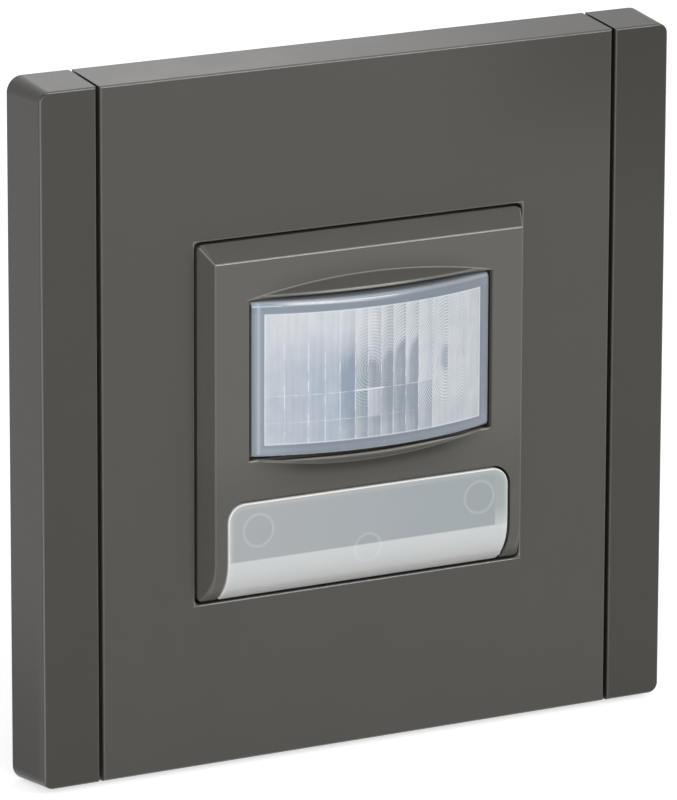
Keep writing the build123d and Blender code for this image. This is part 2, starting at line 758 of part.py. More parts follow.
pieces["light_sensor"] = domed_part(-light_x)
pieces["indicator_led"] = domed_part(light_x)

with BuildPart() as controller_chip:
    with BuildSketch(facing(sensor_board_front)):
        with Locations((chip_x, lens_middle_z)):
            Rectangle(chip_size, chip_size)
    extrude(amount=chip_thick)
    chamfer(controller_chip.edges().group_by(Axis.Y)[0], chip_chamfer)
pieces["controller_chip"] = controller_chip

# Plug and socket

with BuildPart() as plug_header:
    with BuildSketch(facing(back_cover_back)):
        with Locations((0, plug_z)):
            Rectangle(plug_length, plug_strip_width)
    extrude(amount=sensor_board_back - back_cover_back)
    with BuildSketch(facing(plug_pin_tip)):
        with Locations((0, plug_z)):
            with GridLocations(plug_cell_width, plug_cell_width, plug_pins, 1):
                Rectangle(plug_pin_width, plug_pin_width)
    extrude(amount=sensor_board_back - plug_pin_tip)
pieces["plug_header"] = plug_header

with BuildPart() as header_socket:
    with BuildSketch(facing(power_board_front)):
        with Locations((0, plug_z)):
            Rectangle(plug_length, socket_width)
    extrude(amount=socket_front - power_board_front)
    with BuildSketch(facing(socket_front)):
        with Locations((0, plug_z)):
            with GridLocations(plug_cell_width, plug_cell_width, plug_pins, 1):
                Rectangle(socket_hole_width, socket_hole_width)
    extrude(amount=plug_pin_tip - seat_gap - socket_front, mode=Mode.SUBTRACT)
pieces["header_socket"] = header_socket

# Insert housing, its lid and the power board

terminal_x = [(index - (terminal_count - 1) / 2) * terminal_distance for index in range(terminal_count)]


def rounded_square(half, radius):
    """A square whose corners are cut off by a circle, drawn in the sketch that is open."""
    Rectangle(2 * half, 2 * half)
    Circle(radius, mode=Mode.INTERSECT)


with BuildPart() as module_housing:
    with BuildSketch(facing(0)):
        rounded_square(housing_half, housing_round)
    extrude(amount=-housing_depth)
    with BuildSketch(facing(0)):
        rounded_square(housing_flange_half, housing_flange_round)
    extrude(amount=-housing_flange_thick)
    with BuildSketch(facing(0)):
        rounded_square(housing_inner_half, housing_inner_round)
    extrude(amount=housing_inner_back, mode=Mode.SUBTRACT)
    with BuildSketch(facing(0)):
        with GridLocations(2 * rivet_x, 2 * rivet_z, 2, 2):
            Circle(rivet_radius + seat_gap / 2)
    extrude(amount=-housing_flange_thick, mode=Mode.SUBTRACT)
    with BuildSketch(facing(housing_inner_back)):
        with Locations([(x, wire_z) for x in terminal_x]):
            Circle(wire_radius)
    extrude(amount=-housing_wall, mode=Mode.SUBTRACT)
    with BuildSketch(Plane.XY.offset(-housing_half)):
        with Locations([(x, -terminal_screw_height) for x in terminal_x]):
            Circle(screwdriver_radius)
    extrude(amount=housing_wall, mode=Mode.SUBTRACT)
pieces["module_housing"] = module_housing

with BuildPart() as module_lid:
    with BuildSketch(facing(0)):
        rounded_square(housing_inner_half - seat_gap, housing_inner_round - seat_gap)
        with Locations((0, plug_z)):
            Rectangle(plug_length + 4 * seat_gap, socket_width + 4 * seat_gap, mode=Mode.SUBTRACT)
    extrude(amount=-lid_thick)
pieces["module_lid"] = module_lid

with BuildPart() as power_board:
    with BuildSketch(facing(power_board_front)):
        rounded_square(housing_inner_half - 2 * seat_gap, housing_inner_round - 2 * seat_gap)
    extrude(amount=-power_board_thick)
pieces["power_board"] = power_board


# Parts on the power board

def boxed_part(corner_shares, depth, edge_round):
    """Box-shaped component on the back of the power board, between two corners."""
    low_x, low_z = on_board(corner_shares[0])
    high_x, high_z = on_board(corner_shares[1])
    with BuildPart() as component:
        with BuildSketch(facing(power_board_back)):
            with Locations((middle(low_x, high_x), middle(low_z, high_z))):
                Rectangle(high_x - low_x, high_z - low_z)
        extrude(amount=-depth)
        fillet(component.edges().filter_by(Axis.Y) + component.edges().group_by(Axis.Y)[-1], edge_round)
    return component


pieces["relay"] = boxed_part(relay_corner_shares, relay_depth, relay_edge_round)
pieces["film_capacitor"] = boxed_part(film_capacitor_corner_shares, film_capacitor_depth, part_edge_round)
pieces["bridge_rectifier"] = boxed_part(rectifier_corner_shares, rectifier_depth, part_edge_round)

with BuildPart() as electrolytic_capacitor:
    with BuildSketch(facing(power_board_back)):
        with Locations(on_board(electrolytic_middle_shares)):
            Circle(electrolytic_radius_share * housing_inner_half)
    extrude(amount=-electrolytic_depth)
    fillet(electrolytic_capacitor.edges().group_by(Axis.Y)[-1], part_edge_round)
pieces["electrolytic_capacitor"] = electrolytic_capacitor

with BuildPart() as suppressor_choke:
    with BuildSketch(facing(power_board_back)):
        with Locations(on_board(choke_middle_shares)):
            Circle(choke_core_radius_share * housing_inner_half)
    extrude(amount=-choke_depth)
    with BuildSketch(facing(power_board_back), facing(power_board_back - choke_depth + choke_rim_thick)):
        with Locations(on_board(choke_middle_shares)):
            Circle(choke_rim_radius_share * housing_inner_half)
    extrude(amount=-choke_rim_thick)
pieces["suppressor_choke"] = suppressor_choke

with BuildPart() as fuse:
    with BuildSketch(facing(power_board_back)):
        with Locations(on_board(fuse_middle_shares)):
            Circle(fuse_radius_share * housing_inner_half)
    extrude(amount=-fuse_depth)
    chamfer(fuse.edges().group_by(Axis.Y)[-1], part_edge_round)
pieces["fuse"] = fuse

varistor_x, varistor_z = on_board(varistor_middle_shares)
varistor_radius = varistor_radius_share * housing_inner_half
varistor_leg_z = (varistor_z - varistor_radius / 2, varistor_z + varistor_radius / 2)
varistor_height = power_board_back - varistor_foot - varistor_radius
with BuildPart() as varistor:
    with BuildSketch(Plane.YZ.offset(varistor_x - varistor_thick / 2)):
        with Locations((-varistor_height, varistor_z)):
            Circle(varistor_radius)
    extrude(amount=varistor_thick)
    fillet(varistor.edges().filter_by(GeomType.CIRCLE), part_edge_round)
    with BuildSketch(facing(power_board_back)):
        with Locations([(varistor_x, z) for z in varistor_leg_z]):
            Circle(varistor_foot / 2)
    extrude(amount=-varistor_foot - varistor_radius)
pieces["varistor"] = varistor

# Terminals: one block with a brass clamp and a screw for each wire

with BuildPart() as terminal_block:
    with BuildSketch(facing(power_board_back)):
        with Locations((0, middle(terminal_block_low, terminal_block_high))):
            Rectangle(2 * terminal_block_half, terminal_block_high - terminal_block_low)
    extrude(amount=housing_inner_back - power_board_back)
    with BuildSketch(facing(housing_inner_back)):
        with Locations([(x, middle(clamp_low_z, clamp_high_z)) for x in terminal_x]):
            Rectangle(clamp_width + seat_gap, clamp_high_z - clamp_low_z + seat_gap)
    extrude(amount=clamp_back + clamp_depth + seat_gap - housing_inner_back, mode=Mode.SUBTRACT)
    with BuildSketch(Plane.XY.offset(terminal_block_low)):
        with Locations([(x, -terminal_screw_height) for x in terminal_x]):
            Circle(screwdriver_radius)
    extrude(amount=clamp_low_z - terminal_block_low, mode=Mode.SUBTRACT)
pieces["terminal_block"] = terminal_block

with BuildPart() as terminal_clamps:
    with BuildSketch(facing(clamp_back)):
        with Locations([(x, middle(clamp_low_z, clamp_high_z)) for x in terminal_x]):
            Rectangle(clamp_width, clamp_high_z - clamp_low_z)
        with Locations([(x, wire_z) for x in terminal_x]):
            Rectangle(clamp_space, clamp_space, mode=Mode.SUBTRACT)
    extrude(amount=clamp_depth)
    with BuildSketch(Plane.XY.offset(clamp_low_z)):
        with Locations([(x, -terminal_screw_height) for x in terminal_x]):
            Circle(terminal_screw_radius + seat_gap / 2)
    extrude(amount=clamp_floor, mode=Mode.SUBTRACT)
pieces["terminal_clamps"] = terminal_clamps

with BuildPart() as terminal_screws:
    with BuildSketch(Plane.XY.offset(terminal_screw_head_low)):
        with Locations([(x, -terminal_screw_height) for x in terminal_x]):
            Circle(terminal_screw_head_radius)
    extrude(amount=clamp_low_z - terminal_screw_head_low)
    with BuildSketch(Plane.XY.offset(clamp_low_z)):
        with Locations([(x, -terminal_screw_height) for x in terminal_x]):
            Circle(terminal_screw_radius)
    extrude(amount=clamp_floor)
    with BuildSketch(Plane.XY.offset(terminal_screw_head_low)):
        with Locations([(x, -terminal_screw_height) for x in terminal_x]):
            Rectangle(2 * terminal_screw_head_radius, terminal_screw_slot_width)
    extrude(amount=terminal_screw_slot_depth, mode=Mode.SUBTRACT)
pieces["terminal_screws"] = terminal_screws

for name, piece in pieces.items():
    piece.part.label = name
    export_step(piece.part, f"parts/{name}.step")
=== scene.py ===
"""Finishes and studio for the motion sensor light switch.

The switch is 88 mm square. It faces -Y, +Z is up, and the wall lies at Y = 0. Lengths are in metres, except
where a class says that its places and sizes are in millimetres.
"""

import functools
import logging
import math
from dataclasses import dataclass, field
from enum import Enum

import bmesh
import bpy
from mathutils import Matrix, Vector

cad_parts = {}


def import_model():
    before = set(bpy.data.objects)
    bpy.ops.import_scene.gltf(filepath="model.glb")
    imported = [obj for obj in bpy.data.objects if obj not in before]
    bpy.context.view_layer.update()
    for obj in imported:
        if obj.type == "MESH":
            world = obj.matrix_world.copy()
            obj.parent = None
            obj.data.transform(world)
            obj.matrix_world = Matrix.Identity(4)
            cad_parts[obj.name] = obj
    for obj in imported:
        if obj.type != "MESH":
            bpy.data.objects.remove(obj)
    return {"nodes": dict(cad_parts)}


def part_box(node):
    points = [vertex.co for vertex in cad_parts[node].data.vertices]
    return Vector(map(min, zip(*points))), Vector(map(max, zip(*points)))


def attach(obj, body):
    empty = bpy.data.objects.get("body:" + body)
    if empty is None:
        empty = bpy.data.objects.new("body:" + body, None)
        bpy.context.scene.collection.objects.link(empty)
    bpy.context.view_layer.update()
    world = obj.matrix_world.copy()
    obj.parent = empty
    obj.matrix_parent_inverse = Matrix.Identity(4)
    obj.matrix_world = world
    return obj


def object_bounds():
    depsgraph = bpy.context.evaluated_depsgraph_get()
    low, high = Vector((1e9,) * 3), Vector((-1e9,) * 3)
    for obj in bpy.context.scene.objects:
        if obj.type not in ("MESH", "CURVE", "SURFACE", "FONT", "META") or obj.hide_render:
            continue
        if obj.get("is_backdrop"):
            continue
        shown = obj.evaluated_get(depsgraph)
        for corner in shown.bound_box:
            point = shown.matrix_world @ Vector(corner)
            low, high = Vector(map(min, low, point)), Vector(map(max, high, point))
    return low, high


Colour = tuple[float, float, float]
log = logging.getLogger("switch")
MM = 0.001
WHITE = (1.0, 1.0, 1.0)


# Node graphs


class Signal:
    """A value in a node tree that changes over the surface. Arithmetic with it adds Math nodes."""

    def __init__(self, graph: "Graph", socket: bpy.types.NodeSocket) -> None:
        """Wraps an output socket.

        Args:
            graph: The graph that the socket is in.
            socket: The output socket.
        """
        self.graph = graph
        self.socket = socket

    def __add__(self, other: object) -> "Signal":
        """The sum."""
        return self.graph.math("ADD", self, other)

    def __sub__(self, other: object) -> "Signal":
        """The difference."""
        return self.graph.math("SUBTRACT", self, other)

    def __rsub__(self, other: object) -> "Signal":
        """The difference, where a plain number comes first."""
        return self.graph.math("SUBTRACT", other, self)

    def __mul__(self, other: object) -> "Signal":
        """The product."""
        return self.graph.math("MULTIPLY", self, other)

    def __truediv__(self, other: object) -> "Signal":
        """The quotient."""
        return self.graph.math("DIVIDE", self, other)

    def __rtruediv__(self, other: object) -> "Signal":
        """The quotient, where a plain number comes first."""
        return self.graph.math("DIVIDE", other, self)

    def __abs__(self) -> "Signal":
        """The value without its sign."""
        return self.graph.math("ABSOLUTE", self)

    __radd__ = __add__

    def clamped(self) -> "Signal":
        """The value kept between 0 and 1."""
        return self.graph.math("ADD", self, 0.0, clamp=True)

    def step(self, low: float, high: float, start: float = 0.0, end: float = 1.0) -> "Signal":
        """Smooth step of the value.

        Args:
            low: Where the result is start.
            high: Where the result is end. It may be less than low.
            start: The result before low.
            end: The result past high.

        Returns:
            The stepped value.
        """
        made = self.graph.node("MapRange", interpolation_type="SMOOTHSTEP")
        limits = (low, high, start, end) if low <= high else (high, low, end, start)
        for socket, value in zip(made.inputs, (self, *limits)):
            self.graph.feed(socket, value)
        return Signal(self.graph, made.outputs[0])

    def band(self, low: float, high: float, soft: float) -> "Signal":
        """Mask that is 1 where the value lies between two limits.

        Args:
            low: Lower limit.
            high: Upper limit.
            soft: Width over which the mask fades at each limit.

        Returns:
            The mask.
        """
        return self.step(low - soft / 2, low + soft / 2) * self.step(high + soft / 2, high - soft / 2)


def largest(*values: object) -> Signal:
    """The largest of some values, the first of which is a signal."""
    return functools.reduce(lambda a, b: a.graph.math("MAXIMUM", a, b), values)


def smallest(*values: object) -> Signal:
    """The smallest of some values, the first of which is a signal."""
    return functools.reduce(lambda a, b: a.graph.math("MINIMUM", a, b), values)


def hypotenuse(across: Signal, up: Signal) -> Signal:
    """How far a point is from the origin, from its place across and its height."""
    return across.graph.math("SQRT", across * across + up * up)


class Graph:
    """A node tree with short calls for the nodes that the finishes use.

    A value is a Signal, a socket, a number or, for a colour, a tuple.
    """

    def __init__(self, tree: bpy.types.NodeTree) -> None:
        """Starts with an empty tree.

        Args:
            tree: The tree of a material, a world or a node group.
        """
        self.tree = tree
        tree.nodes.clear()

    def node(self, kind: str, **settings: object) -> bpy.types.Node:
        """Adds a node.

        Args:
            kind: The node's type name after "ShaderNode" or "Node".
            settings: Properties to set on it.

        Returns:
            The new node.
        """
        prefix = "Node" if kind.startswith("Group") and kind != "Group" else "ShaderNode"
        made = self.tree.nodes.new(prefix + kind)
        for name, value in settings.items():
            setattr(made, name, value)
        return made

    def feed(self, socket: bpy.types.NodeSocket, value: object) -> None:
        """Links an input to a signal or a socket, or sets it to a plain value.

        Args:
            socket: The input to fill.
            value: What goes into it.
        """
        source = value.socket if isinstance(value, Signal) else value
        if isinstance(source, bpy.types.NodeSocket):
            self.tree.links.new(source, socket)
        elif isinstance(source, tuple) and socket.type == "RGBA":
            socket.default_value = (*source, 1.0)
        else:
            socket.default_value = source

    def fill(self, node: bpy.types.Node, **inputs: object) -> None:
        """Fills a node's inputs by their names.

        Args:
            node: The node.
            inputs: Values for its inputs, with underscores for the spaces in their names.
        """
        for name, value in inputs.items():
            self.feed(node.inputs[name.replace("_", " ")], value)

    def group(self, tree: bpy.types.NodeTree, **inputs: object) -> dict[str, Signal]:
        """Places a node group.

        Args:
            tree: The group's tree.
            inputs: Values for its inputs, as fill takes them.

        Returns:
            Its outputs by their names.
        """
        made = self.node("Group", node_tree=tree)
        self.fill(made, **inputs)
        return {socket.name: Signal(self, socket) for socket in made.outputs}

    def math(self, operation: str, a: object, b: object = 0.0, clamp: bool = False) -> Signal:
        """Adds a Math node.

        Args:
            operation: The operation's name.
            a: First value.
            b: Second value.
            clamp: Whether the result is kept between 0 and 1.

        Returns:
            The result.
        """
        made = self.node("Math", operation=operation, use_clamp=clamp)
        self.feed(made.inputs[0], a)
        self.feed(made.inputs[1], b)
        return Signal(self, made.outputs[0])

    def mix(self, factor: object, a: object, b: object) -> Signal:
        """Mixes two colours.

        Args:
            factor: Share of the second colour.
            a: First colour.
            b: Second colour.

        Returns:
            The mixed colour.
        """
        made = self.node("Mix", data_type="RGBA")
        for index, value in ((0, factor), (6, a), (7, b)):
            self.feed(made.inputs[index], value)
        return Signal(self, made.outputs[2])

    def blend(self, factor: object, a: object, b: object) -> Signal:
        """Mixes two numbers, as mix does with colours."""
        made = self.node("Mix", data_type="FLOAT")
        for index, value in ((0, factor), (2, a), (3, b)):
            self.feed(made.inputs[index], value)
        return Signal(self, made.outputs[0])

    def layered(self, base: object, *layers: tuple[object, object]) -> object:
        """Lays colours over a base colour, each by its own mask.

        Args:
            base: The colour under them all.
            layers: Pairs of a mask and a colour, from the lowest layer to the top one.

        Returns:
            The colour that shows.
        """
        return functools.reduce(lambda under, layer: self.mix(layer[0], under, layer[1]), layers, base)

    def noise(self, vector: object, size: float, detail: float = 2.0, stretch: Colour = WHITE) -> Signal:
        """Noise with a feature size.

        Args:
            vector: Coordinates in metres.
            size: Size of its features in metres.
            detail: Octaves.
            stretch: How much finer the noise is along each axis.

        Returns:
            The noise, from 0 to 1.
        """
        placed = self.node("Mapping")
        self.fill(placed, Vector=vector, Scale=tuple(share / size for share in stretch))
        made = self.node("TexNoise")
        self.fill(made, Vector=placed.outputs[0], Scale=1.0, Detail=detail)
        return Signal(self, made.outputs["Fac"])

    def place(self) -> tuple[Signal, ...]:
        """Reads the place on the piece.

        Returns:
            The Object coordinates in metres, and their X, Y and Z in millimetres.
        """
        source = self.node("TexCoord").outputs["Object"]
        scaled = self.node("VectorMath", operation="SCALE")
        self.feed(scaled.inputs[0], source)
        self.fill(scaled, Scale=1 / MM)
        split = self.node("SeparateXYZ")
        self.feed(split.inputs[0], scaled.outputs[0])
        return tuple(Signal(self, socket) for socket in (source, *split.outputs))

    def bump(self, height: Signal, depth: float, strength: float = 1.0) -> Signal:
        """Turns a height between 0 and 1 into a normal.

        Args:
            height: The height.
            depth: The relief in metres that a height of 1 stands for.
            strength: Share of the effect.

        Returns:
            The normal.
        """
        made = self.node("Bump")
        self.fill(made, Height=height, Distance=depth, Strength=strength)
        return Signal(self, made.outputs[0])


def toned(colour: Colour, factor: float) -> Colour:
    """A colour with each channel multiplied by a factor."""
    return tuple(channel * factor for channel in colour)


def new_material(name: str) -> tuple[bpy.types.Material, Graph, bpy.types.Node]:
    """Starts a material with a Principled shader.

    Args:
        name: The material's name.

    Returns:
        The material, its graph and its shader.
    """
    material = bpy.data.materials.new(name)
    material.use_nodes = True
    graph = Graph(material.node_tree)
    shader = graph.node("BsdfPrincipled")
    graph.fill(graph.node("OutputMaterial"), Surface=shader.outputs[0])
    return material, graph, shader


class Effects:
    """Shader node groups that several finishes share. Each is built once."""

    @staticmethod
    def start(name: str, inputs: tuple[str, ...],
              outputs: tuple[str, ...]) -> tuple[Graph, dict[str, Signal], bpy.types.Node]:
        """Starts a group with its sockets. They take numbers, but the one named Vector takes a vector.

        Args:
            name: The group's name.
            inputs: The names of its inputs.
            outputs: The names of its outputs.

        Returns:
            The graph, the inputs by their names and the group's output node.
        """
        tree = bpy.data.node_groups.new(name, "ShaderNodeTree")
        for label in inputs:
            kind = "NodeSocketVector" if label == "Vector" else "NodeSocketFloat"
            tree.interface.new_socket(label, in_out="INPUT", socket_type=kind)
        for label in outputs:
            tree.interface.new_socket(label, in_out="OUTPUT", socket_type="NodeSocketFloat")
        graph = Graph(tree)
        source = graph.node("GroupInput")
        given = {label: Signal(graph, source.outputs[label]) for label in inputs}
        return graph, given, graph.node("GroupOutput")

    @staticmethod
    @functools.cache
    def moulded_grain() -> bpy.types.NodeTree:
        """The fine eroded texture of a plastics mould, with a slow mottling of tone."""
        graph, given, target = Effects.start("moulded_grain", ("Vector", "Grain Size"), ("Height", "Mottle"))
        scale = 1.0 / given["Grain Size"]
        fine = graph.node("TexNoise")
        graph.fill(fine, Vector=given["Vector"], Scale=scale, Detail=2.0)
        pits = graph.node("TexVoronoi", feature="SMOOTH_F1")
        graph.fill(pits, Vector=given["Vector"], Scale=scale * 0.6)
        height = graph.blend(0.35, fine.outputs["Fac"], pits.outputs["Distance"])
        graph.fill(target, Height=height, Mottle=graph.noise(given["Vector"], 9 * MM, 3.0))
        return graph.tree

    @staticmethod
    @functools.cache
    def handling_marks() -> bpy.types.NodeTree:
        """Faint rubbed patches and hairlines, as a mask."""
        graph, given, target = Effects.start("handling_marks", ("Vector",), ("Mask",))
        patches = graph.noise(given["Vector"], 14 * MM, 4.0).step(0.52, 0.75)
        hairs = graph.noise(given["Vector"], 2 * MM, 2.0, (6.0, 6.0, 0.5)).step(0.62, 0.7)
        graph.fill(target, Mask=graph.blend(0.3, patches, hairs))
        return graph.tree

    @staticmethod
    @functools.cache
    def thin_ring() -> bpy.types.NodeTree:
        """A thin circle about a point in the X-Z plane, and its disc, as masks. In millimetres."""
        graph, given, target = Effects.start(
            "thin_ring", ("X", "Z", "Centre X", "Centre Z", "Radius", "Width"), ("Mask", "Inside"))
        distance = hypotenuse(given["X"] - given["Centre X"], given["Z"] - given["Centre Z"])
        beyond = distance - given["Radius"]
        graph.fill(target, Mask=(abs(beyond) / given["Width"]).step(1.0, 0.0),
                   Inside=beyond.step(0.05, -0.05))
        return graph.tree

    @staticmethod
    @functools.cache
    def fresnel_rings() -> bpy.types.NodeTree:
        """Fine moulded rings about a point in the X-Z plane, as a height. Its sizes are in millimetres.

        The rings are ellipses: Squeeze is how much narrower than high they are.
        """
        graph, given, target = Effects.start(
            "fresnel_rings", ("X", "Z", "Centre X", "Centre Z", "Pitch", "Squeeze"), ("Height", "Distance"))
        across = (given["X"] - given["Centre X"]) * given["Squeeze"]
        distance = hypotenuse(across, given["Z"] - given["Centre Z"])
        height = graph.math("PINGPONG", distance / given["Pitch"], 0.5) * 2.0
        graph.fill(target, Height=height, Distance=distance)
        return graph.tree

    @staticmethod
    @functools.cache
    def square_edge() -> bpy.types.NodeTree:
        """A thin line along the outline of a square in the X-Z plane, as a mask. In millimetres."""
        graph, given, target = Effects.start("square_edge", ("X", "Z", "Half", "Width"), ("Mask",))
        beyond = abs(largest(abs(given["X"]), abs(given["Z"])) - given["Half"])
        graph.fill(target, Mask=(beyond / given["Width"]).step(1.0, 0.4))
        return graph.tree

    @staticmethod
    def all_rings(graph: Graph, x: Signal, z: Signal, width: float,
                  marks: tuple[tuple[float, float, float], ...]) -> list[dict[str, Signal]]:
        """Places a thin ring for each mark.

        Args:
            graph: The material's graph.
            x: The place across.
            z: The height.
            width: The rings' width.
            marks: For each ring its centre's place across and height, and its radius.

        Returns:
            The masks of each ring by their names.
        """
        return [graph.group(Effects.thin_ring(), X=x, Z=z, Centre_X=centre_x, Centre_Z=centre_z,
                            Radius=radius, Width=width) for centre_x, centre_z, radius in marks]


# Finishes


@dataclass(frozen=True)
class MouldedPlastic:
    """Opaque moulded plastic, from matt to glossy, bare or painted."""

    name: str
    colour: Colour
    roughness: float = 0.45
    grain_size: float = 0.35 * MM
    grain_depth: float = 0.004 * MM
    mottle: float = 0.035
    coat: float = 0.0
    # Strength of the painted highlights along edges; when it is nonzero, painted shade is laid on as well.
    painted_light_strength: float = 0.0
    # Colour of the painted highlights.
    rubbed: Colour = (0.36, 0.345, 0.315)
    # Share of the colour that is kept where shade is painted.
    shade: float = 0.48

    def painted_highlights(self, graph: Graph, x: Signal, y: Signal, z: Signal) -> object:
        """Mask of the edges with a painted highlight, which are also made smoother. A plain moulding has
        none.
        """
        return 0.0

    def painted_shade(self, graph: Graph, x: Signal, y: Signal, z: Signal) -> object:
        """Mask of places with painted shade. A plain moulding has none."""
        return 0.0

    def build(self) -> bpy.types.Material:
        """Makes the material."""
        material, graph, shader = new_material(self.name)
        vector, x, y, z = graph.place()
        grain = graph.group(Effects.moulded_grain(), Vector=vector, Grain_Size=self.grain_size)
        marks = graph.group(Effects.handling_marks(), Vector=vector)["Mask"]
        mottle = grain["Mottle"]
        base = graph.mix(mottle, toned(self.colour, 1 - self.mottle), toned(self.colour, 1 + self.mottle))
        rough = mottle * 0.05 + (self.roughness - marks * (0.1 * self.roughness))
        # Painted highlights along edges, which are also made smoother, and painted shade, which also lowers
        # the specular level.
        if self.painted_light_strength:
            edges = self.painted_highlights(graph, x, y, z)
            painted_shade_mask = self.painted_shade(graph, x, y, z)
            base = graph.mix(painted_shade_mask, base, toned(self.colour, self.shade))
            base = graph.mix(edges * self.painted_light_strength, base, self.rubbed)
            rough = rough - edges * 0.12
            graph.fill(shader, Specular_IOR_Level=0.5 - painted_shade_mask * 0.4)
        relief = graph.bump(grain["Height"], self.grain_depth)
        graph.fill(shader, Base_Color=base, Roughness=rough, Normal=relief, Coat_Weight=self.coat,
                   Coat_Roughness=0.15)
        return material


@dataclass(frozen=True)
class FramePaint(MouldedPlastic):
    """The frame's dark paint, with painted highlights along the edges of the fronts. Places are in
    millimetres.

    Painted shade darkens the left side from side_high down to side_low, the right strip from strip_low up,
    and the panel from panel_low up and right of panel_left, both up to shade_top.
    """

    front: float = 7.5
    outer_half: float = 43.4
    aperture_half: float = 22.95
    edge_width: float = 0.12
    groove_x: float = 35.72
    groove_half: float = 0.4
    strip_x: float = 36.1
    side_high: float = -12.0
    side_low: float = -40.0
    strip_low: float = 15.0
    panel_low: float = 22.0
    panel_left: float = 5.0
    shade_top: float = 43.0

    def painted_highlights(self, graph: Graph, x: Signal, y: Signal, z: Signal) -> Signal:
        """Mask of the painted highlights on the frame's front edges: outside, round the opening and along the
        grooves.
        """
        squares = [graph.group(Effects.square_edge(), X=x, Z=z, Half=half, Width=self.edge_width)["Mask"]
                   for half in (self.outer_half, self.aperture_half)]
        off_groove = abs(abs(abs(x) - self.groove_x) - self.groove_half)
        edges = largest(*squares, off_groove.step(0.1, 0.03) * 0.35)
        return edges * y.step(0.25 - self.front, 0.1 - self.front)

    def painted_shade(self, graph: Graph, x: Signal, y: Signal, z: Signal) -> Signal:
        """Mask of the painted shade: low on the left side, and towards the upper right of the front."""
        side = z.step(self.side_high, self.side_low, 0.0, 0.50)
        side = side * x.step(-self.outer_half, -self.outer_half - 0.3)
        strip = x.step(self.strip_x, self.strip_x + 0.2) * z.step(self.strip_low, self.shade_top, 0.05, 0.30)
        panel = x.step(self.panel_left, self.strip_x) * z.step(self.panel_low, self.shade_top, 0.0, 0.33)
        return largest(side, strip, panel * x.step(self.strip_x, self.strip_x - 0.2))


